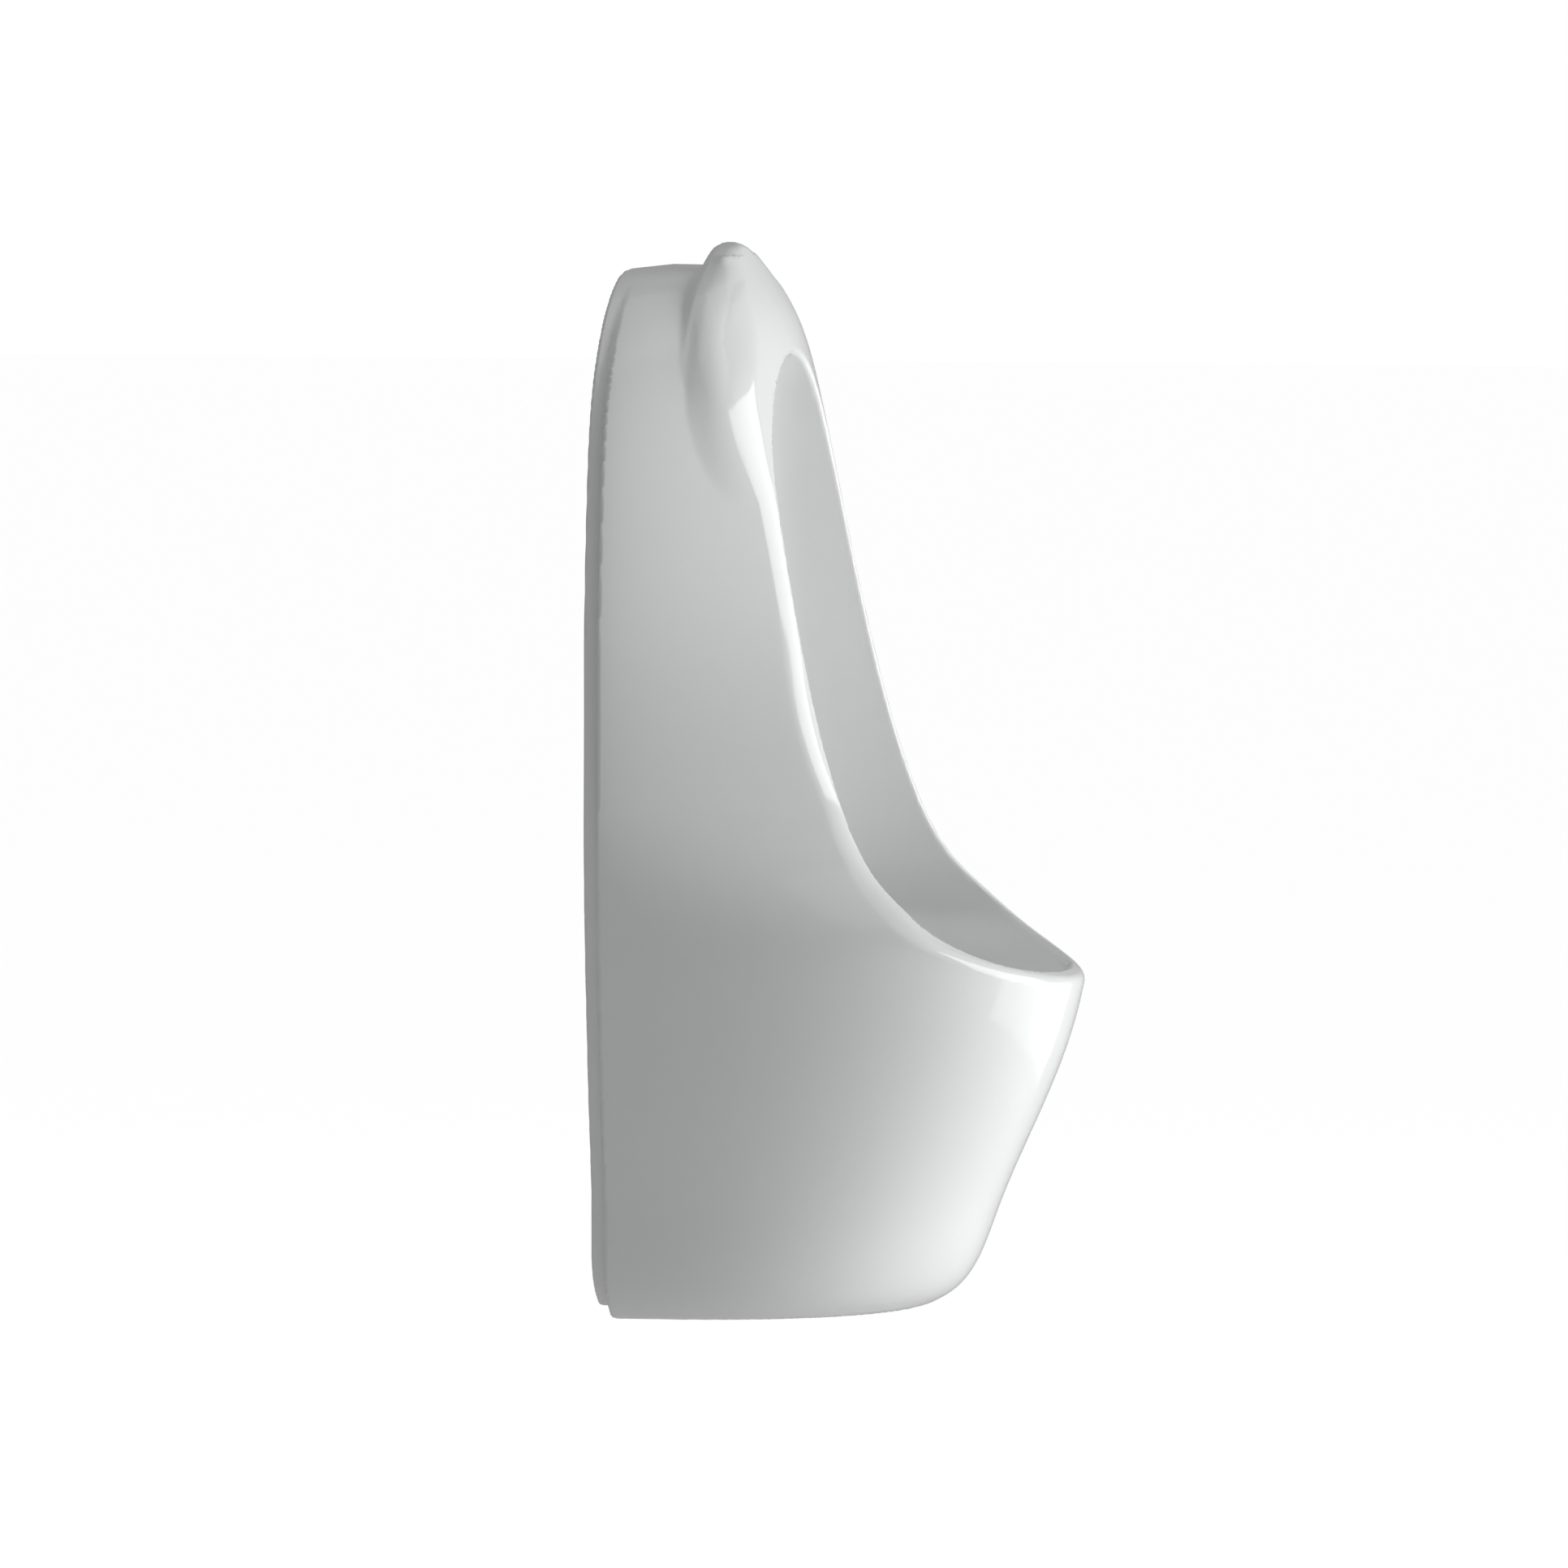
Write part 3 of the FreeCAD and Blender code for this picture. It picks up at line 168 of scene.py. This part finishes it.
def soft_run(pairs):
    """Value against height, through the pairs with no overshoot and no kink."""
    heights, values = (np.array(column, float) for column in zip(*pairs))
    slope = np.diff(values) / np.diff(heights)
    lean = np.concatenate([[slope[0]], np.where(slope[1:] * slope[:-1] > 0,
                           2 * slope[1:] * slope[:-1] / (slope[1:] + slope[:-1] + 1e-12), 0), [slope[-1]]])

    def run(z):
        z = np.clip(z, heights[0], heights[-1])
        k = np.clip(np.searchsorted(heights, z) - 1, 0, len(heights) - 2)
        wide = heights[k + 1] - heights[k]
        t = (z - heights[k]) / wide
        return (values[k] * (1 + 2 * t) * (1 - t) ** 2 + lean[k] * wide * t * (1 - t) ** 2
                + values[k + 1] * t * t * (3 - 2 * t) + lean[k + 1] * wide * t * t * (t - 1))
    return run


power_across = soft_run([(z, across) for z, across, along in POWERS])
power_along = soft_run([(z, along) for z, across, along in POWERS])


def powers_at(z):
    """The two powers of the plan section at a height."""
    return power_across(z), power_along(z)


def nose_through(height, half_width, rim_half_width, rim_depth):
    """Depth at which a plan section closes, when it passes through the rim."""
    across, along = powers_at(height)
    share = 1 - (rim_half_width / half_width) ** across
    return (rim_depth - rim_bow(rim_half_width)) / share ** (1 / along)


def smooth_run(pairs):
    """Value against height, on a spline through the pairs with its knots spaced by their chords."""
    pairs = np.array(pairs, float)
    t = np.concatenate([[0], np.cumsum(np.linalg.norm(np.diff(pairs, axis=0), axis=1))])
    n = len(t)
    step = np.diff(t)
    system = np.eye(n)
    curved = np.zeros((n, 2))
    for i in range(1, n - 1):
        system[i, i - 1:i + 2] = [step[i - 1], 2 * (step[i - 1] + step[i]), step[i]]
        curved[i] = 6 * ((pairs[i + 1] - pairs[i]) / step[i] - (pairs[i] - pairs[i - 1]) / step[i - 1])
    bend = np.linalg.solve(system, curved)
    fine = np.linspace(0, t[-1], 6000)
    k = np.clip(np.searchsorted(t, fine) - 1, 0, n - 2)
    h = step[k][:, None]
    a = ((t[k + 1] - fine)[:, None]) / h
    b = 1 - a
    track = (a * pairs[k] + b * pairs[k + 1]
             + ((a ** 3 - a) * bend[k] + (b ** 3 - b) * bend[k + 1]) * h ** 2 / 6)
    order = np.argsort(track[:, 0])
    heights, values = track[order, 0], track[order, 1]
    return lambda z: np.interp(z, heights, values)


# Rounded shoulders, from the brow up to the ledge and, unused, a little beyond it.
SHOULDERS = [(616, 138.5, 147), (630, 128, 138), (643, 115, 130.5), (652, 103, 125.5), (658, 92.5, 122),
             (662, 83, 119.5), (666, 70, 117)]
SHELL = FOOT + [(z, w, nose_through(z, w, r, d)) for z, w, r, d in SIDES] + SHOULDERS
shell_width = smooth_run([(z, w) for z, w, n in SHELL])
shell_nose = smooth_run([(z, n) for z, w, n in SHELL])

# The line of the rim seen from the side: height and depth, run on past the lip and past the crest.
LIP, TIP = 215.0, 277.6
BELOW_LIP = (200.8, 309)
BROW_DEPTH, FOREHEAD_FULLNESS, PAST_CREST = SIDES[-1][3], 5.5, 24
FOREHEAD = (0.5 * (BROW + CREST), 0.5 * (BROW_DEPTH + CREST_DEPTH) + FOREHEAD_FULLNESS)
LEAN = (FOREHEAD[1] - CREST_DEPTH) / (CREST - FOREHEAD[0])
RIM_LINE = [BELOW_LIP, (LIP, TIP)] + [(z, d) for z, w, r, d in SIDES]
RIM_LINE += [FOREHEAD, (CREST, CREST_DEPTH), (CREST + PAST_CREST, CREST_DEPTH - PAST_CREST * LEAN)]
rim_depth = smooth_run(RIM_LINE)

# Stations of the bowl: height, back, front, half width.
BOWL = [(SUMP, SUMP_DEPTH - SUMP_RADIUS, SUMP_DEPTH + SUMP_RADIUS, SUMP_RADIUS), (148, 34, 160, 65),
        (172, BOWL_BACK, 202, 101), (203, BOWL_BACK, 256.5, 121), (229, BOWL_BACK, 264, 122),
        (247, BOWL_BACK, 257, 124), (262, BOWL_BACK, 252, 118)]
BOWL += [(z, BOWL_BACK, d + BOWL_OVERRUN, r - RIM_WIDTH) for z, w, r, d in SIDES[2:6]]
BOWL += [(560, BOWL_BACK, 172, 78), (620, BOWL_BACK, 173, 74), (700, BOWL_BACK, 174, 70)]
BOWL = [(z, (back + front) / 2, (front - back) / 2, width) for z, back, front, width in BOWL]
bowl_middle = smooth_run([(z, m) for z, m, a, b in BOWL])
bowl_reach = smooth_run([(z, a) for z, m, a, b in BOWL])
bowl_width = smooth_run([(z, b) for z, m, a, b in BOWL])


def true_distance(raw, reach=0.05):
    """Turn a field that is zero on a surface into the distance from it, near the surface."""
    def field(x, d, z):
        here = raw(x, d, z)
        slope = ((raw(x + reach, d, z) - raw(x - reach, d, z)) ** 2
                 + (raw(x, d + reach, z) - raw(x, d - reach, z)) ** 2
                 + (raw(x, d, z + reach) - raw(x, d, z - reach)) ** 2)
        return here / (np.sqrt(slope) / (2 * reach) + 1e-4)
    return field


def oval(x, d, width, back, nose, powers=ROUND):
    """Below one inside a plan section, taken to a power that keeps it close to linear."""
    across, along = powers
    share = np.maximum(d - back, 0) / np.maximum(nose - back, 1)
    return ((np.abs(x) / np.maximum(width, 1)) ** across + share ** along) ** (1 / across) - 1


def both(a, b, radius):
    """Overlap of two fields, with its outer edge rounded."""
    outside = np.hypot(np.maximum(a + radius, 0), np.maximum(b + radius, 0))
    return np.minimum(np.maximum(a, b), -radius) + outside


def either(a, b, radius):
    """Union of two fields, with its inner corner filled."""
    return -both(-a, -b, radius)


def less(a, b, radius):
    """One field without the other, with the edge of the cut rounded."""
    return both(a, -b, radius)


shell_side = true_distance(lambda x, d, z: oval(x, d, shell_width(z), 0, shell_nose(z), powers_at(z)))
rim_face = true_distance(lambda x, d, z: d - (rim_depth(z) - rim_bow(x)))
hood_width = smooth_run([(z, w) for z, w, n in HOOD])
hood_nose = smooth_run([(z, n) for z, w, n in HOOD])
hood_side = true_distance(lambda x, d, z: oval(x, d, hood_width(z), HOOD_BACK, hood_nose(z)))


def bowl_raw(x, d, z):
    """The bowl: ovals that close upwards in a vault, from its spring up to the apex of the opening."""
    vault = np.maximum(z - SPRING, 0) / (APEX - SPRING)
    share = np.abs(d - bowl_middle(z)) / np.maximum(bowl_reach(z), 1)
    return np.sqrt((x / np.maximum(bowl_width(z), 1)) ** 2 + share ** ROUND[1] + vault ** VAULT_POWER) - 1


bowl_side = true_distance(bowl_raw)


def slab(value, low, high):
    """Below zero between two planes."""
    return np.maximum(low - value, value - high)


def hood_field(x, d, z):
    """The raised hood, which starts a little above its lowest station."""
    body = both(both(hood_side(x, d, z), z - CREST, INNER_CORNER), HOOD_BACK - d, HOOD_EDGE)
    return both(body, HOOD[0][0] + 5 - z, INNER_CORNER)


def ware_field(x, d, z):
    """Distance from the surface of the glazed body: below zero in the ware."""
    front = both(both(shell_side(x, d, z), z - LEDGE, LEDGE_EDGE), -d, BACK_EDGE)
    front = both(front, -z, FOOT_EDGE)
    rear_d, rear_z = d + REAR_STEP, z - STEP_RISE
    step = both(shell_side(x, rear_d, rear_z) + STEP_INSET, rear_z - LEDGE, LEDGE_EDGE)
    step = both(step, -rear_d, BACK_EDGE)
    step = both(both(step, -rear_z, BACK_EDGE), d - (HOOD_BACK - REAR_SHIFT + STEP_LAP), 2.0)
    rear_hood = hood_field(x, d + REAR_SHIFT, z - STEP_RISE)
    ware = either(either(front, step, STEP_CORNER), rear_hood, REAR_HOOD_CORNER)
    ware = either(ware, hood_field(x, d, z), HOOD_CORNER)
    ware = both(ware, rim_face(x, d, z), RIM_EDGE)
    bowl = both(bowl_side(x, d, z), SUMP - z, INNER_CORNER)
    boss = both(np.hypot(x, z - INLET_HEIGHT) - INLET_BOSS, d - (BOWL_BACK + BOSS_PROUD), 2.0)
    ware = less(ware, both(bowl, -boss, 2.0), BOWL_EDGE)
    return back_hollows(ware, x, d, z)


def back_hollows(ware, x, d, z):
    """The open back: a recess behind the bowl, a pocket on each side and the chamber of the trap."""
    inner = shell_side(x, np.maximum(d, 0), z) + WALL
    low = WALL + STEP_RISE
    recess = both(both(inner, d - (BOWL_BACK - WALL), 3.0), slab(z, low, LEDGE - WALL), 3.0)
    pocket = both(inner, np.interp(z, *POCKET_INSIDE) - np.abs(x), 3.0)
    pocket = both(pocket, d - POCKET_DEPTH, INNER_CORNER)
    pocket = both(pocket, slab(z, POCKET_FOOT, POCKET_TOP), INNER_CORNER)
    chamber = both(both(inner, slab(z, low, SUMP - WALL), INNER_CORNER), d - CHAMBER_DEPTH, INNER_CORNER)
    lug_face = np.maximum(np.abs(np.abs(x) - LUG_MIDDLE) - LUG_HALF_LENGTH,
                          np.abs(z - LUG_HEIGHT) - LUG_HALF_HEIGHT)
    lugs = np.maximum(lug_face, slab(d + REAR_STEP, *LUG_REACH))
    boss = np.maximum(np.hypot(x, z - INLET_HEIGHT) - INLET_BOSS, -(d - (BOWL_BACK - WALL - BOSS_BEHIND)))
    hollow = either(either(recess, pocket, 2.0), chamber, 2.0)
    hollow = less(less(hollow, lugs, 0.8), boss, 0.8)
    ware = less(ware, hollow, 2.0)
    from_waste = np.hypot(x, d - SUMP_DEPTH)
    ware = less(ware, np.maximum(from_waste - WASTE_HOLE, slab(z, 100, 170)), 1.5)
    ware = less(ware, np.maximum(from_waste - SERVICE_HOLE, slab(z, -10, 30)), 2.0)
    return less(ware, np.maximum(np.hypot(x, z - INLET_HEIGHT) - INLET_HOLE, slab(d, -5, 40)), 1.0)


# ---------------------------------------------------------------- meshing the ware

# The space the net covers, in millimetres, and its cell and triangles at full and at quick quality.
NET_LOW, NET_HIGH = (-180.0, -16.0, -6.0), (180.0, 290.0, 694.0)
FULL_NET, QUICK_NET = (2.6, 188000), (4.0, 110000)


def net_over(field, low, high, cell):
    """A closed quad mesh on the zero surface of a field, with one point in each cell it crosses."""
    axes = [np.arange(a, b + cell, cell) for a, b in zip(low, high)]
    values = np.empty([len(axis) for axis in axes], np.float32)
    for k in range(0, len(axes[2]), 24):
        grid = np.meshgrid(axes[0], axes[1], axes[2][k:k + 24], indexing="ij", sparse=True)
        values[:, :, k:k + 24] = field(*grid)
    inside = values < 0
    cells = tuple(n - 1 for n in values.shape)
    total = np.zeros(cells + (3,), np.float64)
    count = np.zeros(cells, np.int32)
    for axis in range(3):
        others = [a for a in range(3) if a != axis]
        for shift_a in (0, 1):
            for shift_b in (0, 1):
                first = [slice(None)] * 3
                second = [slice(None)] * 3
                first[axis], second[axis] = slice(0, -1), slice(1, None)
                for other, shift in zip(others, (shift_a, shift_b)):
                    span = slice(1, None) if shift else slice(0, -1)
                    first[other], second[other] = span, span
                va, vb = values[tuple(first)], values[tuple(second)]
                crossed = (va < 0) != (vb < 0)
                along = np.where(crossed, va / np.where(crossed, va - vb, 1), 0)
                point = np.zeros(cells + (3,))
                point[..., axis] = along
                point[..., others[0]] = shift_a
                point[..., others[1]] = shift_b
                total += point * crossed[..., None]
                count += crossed
    used = count > 0
    index = np.full(cells, -1, np.int64)
    index[used] = np.arange(used.sum())
    base = np.stack(np.meshgrid(*[axis[:-1] for axis in axes], indexing="ij"), -1)
    points = (base + cell * total / np.maximum(count, 1)[..., None])[used]
    faces = []
    for axis in range(3):
        a, b = [other for other in range(3) if other != axis]
        core = [slice(1, -1)] * 3
        core[axis] = slice(0, -1)
        ahead = list(core)
        ahead[axis] = slice(1, None)
        start, end = inside[tuple(core)], inside[tuple(ahead)]
        for crossing, flip in ((start & ~end, False), (~start & end, True)):
            at = np.argwhere(crossing)
            at[:, a] += 1
            at[:, b] += 1
            corner = []
            for da, db in ((0, 0), (1, 0), (1, 1), (0, 1)):
                cell_at = at.copy()
                cell_at[:, a] -= da
                cell_at[:, b] -= db
                corner.append(index[cell_at[:, 0], cell_at[:, 1], cell_at[:, 2]])
            quad = np.stack(corner, 1)
            turned = flip != (axis == 1)
            faces.append(quad[:, ::-1] if turned else quad)
    return points, np.concatenate(faces)


def slope_of(field, points, reach=0.05):
    """Slope of a field at each point, measured over twice the reach."""
    x, d, z = points.T
    return np.stack([field(x + reach, d, z) - field(x - reach, d, z),
                     field(x, d + reach, z) - field(x, d - reach, z),
                     field(x, d, z + reach) - field(x, d, z - reach)], 1) / (2 * reach)


def settle(points, field, rounds=3):
    """Move the points of a net onto the zero surface, along its slope."""
    for _ in range(rounds):
        here = field(*points.T)
        slope = slope_of(field, points)
        length = np.maximum((slope ** 2).sum(1), 0.2)
        step = slope * (here / length)[:, None]
        far = np.maximum(np.abs(step).max(1, keepdims=True), 1.0)
        points = points - step / far
    return points


def to_frame(points):
    """From (across, depth, height) in millimetres to the shared frame."""
    return np.stack([points[:, 0], -(REAR_STEP + points[:, 1]), points[:, 2] - DATUM_HEIGHT], 1) * MM


def from_frame(places):
    """From the shared frame back to (across, depth, height) in millimetres."""
    return np.stack([places[:, 0] / MM, -places[:, 1] / MM - REAR_STEP, places[:, 2] / MM + DATUM_HEIGHT], 1)


def lightened(mesh, triangles):
    """The mesh with its flat stretches thinned out to about the given number of triangles."""
    item = bpy.data.objects.new("net", mesh)
    bpy.context.scene.collection.objects.link(item)
    thin = item.modifiers.new("thin", "DECIMATE")
    thin.ratio = min(1.0, triangles / (2 * len(mesh.polygons)))
    bpy.context.view_layer.update()
    light = bpy.data.meshes.new_from_object(item.evaluated_get(bpy.context.evaluated_depsgraph_get()))
    bpy.data.objects.remove(item)
    bpy.data.meshes.remove(mesh)
    return light


def steady_normals(mesh, slope):
    """Unit normals from the slope of the field, or from the net itself where a fold turns the slope."""
    exact = slope / np.maximum(np.linalg.norm(slope, axis=1, keepdims=True), 1e-9)
    own = np.empty(len(mesh.vertices) * 3)
    mesh.vertices.foreach_get("normal", own)
    own = own.reshape(-1, 3)
    agreed = (exact * own).sum(1, keepdims=True)
    share = np.clip((agreed - 0.80) / 0.12, 0, 1)
    mixed = exact * share + own * (1 - share)
    return mixed / np.maximum(np.linalg.norm(mixed, axis=1, keepdims=True), 1e-9)


def make_ware():
    """The glazed body: a net over its field, thinned out, settled again and shaded by the field."""
    cell, triangles = FULL_NET
    points, faces = net_over(ware_field, NET_LOW, NET_HIGH, cell)
    net = bpy.data.meshes.new("net")
    net.from_pydata(to_frame(settle(points, ware_field)).tolist(), [], faces[:, ::-1].tolist())
    mesh = lightened(net, triangles)
    places = np.empty(len(mesh.vertices) * 3)
    mesh.vertices.foreach_get("co", places)
    points = settle(from_frame(places.reshape(-1, 3)), ware_field, rounds=2)
    mesh.vertices.foreach_set("co", to_frame(points).ravel())
    slope = slope_of(ware_field, points, reach=0.25) * (1, -1, 1)
    mesh.shade_smooth()
    mesh.normals_split_custom_set_from_vertices(steady_normals(mesh, slope))
    mesh.name = "ware_glazed"
    mesh.materials.clear()
    mesh.materials.append(GLAZED_CHINA)
    item = bpy.data.objects.new("ware_glazed", mesh)
    bpy.context.scene.collection.objects.link(item)
    return item


ware = make_ware()
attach(ware, BODY_OF["glazed_body"])
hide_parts("glazed_body")

# ---------------------------------------------------------------- the other pieces


WELD_MM, CREASE = 0.01, math.radians(34)


def smoothed(node):
    """A merged copy of a plain piece, smooth across its small facets and crisp at its edges."""
    source = nodes[node]
    mesh = source.data.copy()
    mesh.name = node + "_smooth"
    item = bpy.data.objects.new(node + "_smooth", mesh)
    bpy.context.scene.collection.objects.link(item)
    weld = item.modifiers.new("weld", "WELD")
    weld.merge_threshold = WELD_MM * MM
    bpy.context.view_layer.update()
    merged = bpy.data.meshes.new_from_object(item.evaluated_get(bpy.context.evaluated_depsgraph_get()))
    item.modifiers.clear()
    item.data = merged
    merged.materials.clear()
    merged.materials.append(FINISHES[SLOT_OF[node]])
    merged.shade_smooth()
    merged.set_sharp_from_angle(angle=CREASE)
    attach(item, BODY_OF[node])
    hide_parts(node)


for node in nodes:
    if node != "glazed_body":
        smoothed(node)

# ---------------------------------------------------------------- floor, light and camera

# Metres below the datum, half side in metres, and the glow that brings the floor up to white paper.
FLOOR_HEIGHT, FLOOR_HALF, FLOOR_GLOW = -1.0, 30.0, 0.72


def floor_finish():
    """Pale floor that the camera sees as white paper, a little darker where a shadow falls on it."""
    material = surface("pale_floor", "#EDEDED", 0.8)
    tree = material.node_tree
    seen = add_node(tree, "ShaderNodeLightPath")
    glow = add_node(tree, "ShaderNodeEmission", Color=(1, 1, 1, 1), Strength=FLOOR_GLOW)
    lit = add_node(tree, "ShaderNodeAddShader", [(0, glow.outputs["Emission"]),
                                                 (1, tree.nodes["Principled BSDF"].outputs["BSDF"])])
    choice = add_node(tree, "ShaderNodeMixShader", [(0, seen.outputs["Is Camera Ray"]),
                                                    (1, tree.nodes["Principled BSDF"].outputs["BSDF"]),
                                                    (2, lit.outputs["Shader"])])
    tree.links.new(choice.outputs["Shader"], tree.nodes["Material Output"].inputs["Surface"])
    return material


def make_floor():
    """A plain pale floor, well below the ware."""
    corners = [(x * FLOOR_HALF, y * FLOOR_HALF, FLOOR_HEIGHT) for x, y in ((-1, -1), (1, -1), (1, 1), (-1, 1))]
    mesh = bpy.data.meshes.new("floor")
    mesh.from_pydata(corners, [], [(0, 1, 2, 3)])
    item = bpy.data.objects.new("floor", mesh)
    bpy.context.scene.collection.objects.link(item)
    mesh.materials.append(floor_finish())


make_floor()

world = bpy.data.worlds.new("studio")
bpy.context.scene.world = world
world.use_nodes = True
tree = world.node_tree
tree.nodes.clear()
seen = add_node(tree, "ShaderNodeLightPath")
room_light = add_node(tree, "ShaderNodeBackground", Color=(1, 1, 1, 1), Strength=0.31)
white = add_node(tree, "ShaderNodeBackground", Color=(1, 1, 1, 1), Strength=1.0)
choice = add_node(tree, "ShaderNodeMixShader", [(0, seen.outputs["Is Camera Ray"]),
                                                (1, room_light.outputs["Background"]),
                                                (2, white.outputs["Background"])])
add_node(tree, "ShaderNodeOutputWorld", [("Surface", choice.outputs["Shader"])])


def soft_box(name, place, aim, width, height, watts):
    """A soft rectangular lamp, in metres and watts."""
    lamp = bpy.data.lights.new(name, "AREA")
    lamp.shape = "RECTANGLE"
    lamp.size, lamp.size_y = width, height
    lamp.energy = watts
    item = bpy.data.objects.new(name, lamp)
    bpy.context.scene.collection.objects.link(item)
    item.location = place
    item.rotation_euler = (Vector(aim) - Vector(place)).to_track_quat("-Z", "Y").to_euler()


MIDDLE = (0.0, -0.13, -0.25)
soft_box("front", (0.62, -3.4, -0.15), MIDDLE, 3.0, 2.6, 98)
soft_box("top", (-0.4, -0.9, 2.6), MIDDLE, 2.0, 2.0, 5)
soft_box("floor_bounce", (0.7, -1.4, -0.95), MIDDLE, 1.8, 1.8, 14)

# The photograph was taken from far to the side and a little above.
AZIMUTH, ELEVATION, DISTANCE, SENSOR = math.radians(284), math.radians(3.2), 12.0, 36.0
# Side of the picture and scale of the object in it, in its pixels, and where the target falls.
IMAGE, PIXELS_PER_METRE = 1932.0, 1906.0
TARGET = Vector((0, -0.130, 0.345 - DATUM_HEIGHT * MM))
TARGET_PIXEL = (1040.3, 952.8)
back = Vector((math.sin(AZIMUTH) * math.cos(ELEVATION), -math.cos(AZIMUTH) * math.cos(ELEVATION),
               math.sin(ELEVATION)))
right = Vector((math.cos(AZIMUTH), math.sin(AZIMUTH), 0))
up = back.cross(right)
centre = (TARGET - right * (TARGET_PIXEL[0] - IMAGE / 2) / PIXELS_PER_METRE
          + up * (TARGET_PIXEL[1] - IMAGE / 2) / PIXELS_PER_METRE)
camera_data = bpy.data.cameras.new("camera")
camera_data.sensor_width = SENSOR
camera_data.lens = SENSOR * DISTANCE / (IMAGE / PIXELS_PER_METRE)
camera_data.clip_end = 200
camera = bpy.data.objects.new("camera", camera_data)
bpy.context.scene.collection.objects.link(camera)
camera.matrix_world = Matrix(((right.x, up.x, back.x, 0), (right.y, up.y, back.y, 0),
                              (right.z, up.z, back.z, 0), (0, 0, 0, 1)))
camera.location = centre + back * DISTANCE
bpy.context.scene.camera = camera
bpy.context.scene.view_settings.view_transform = "Standard"
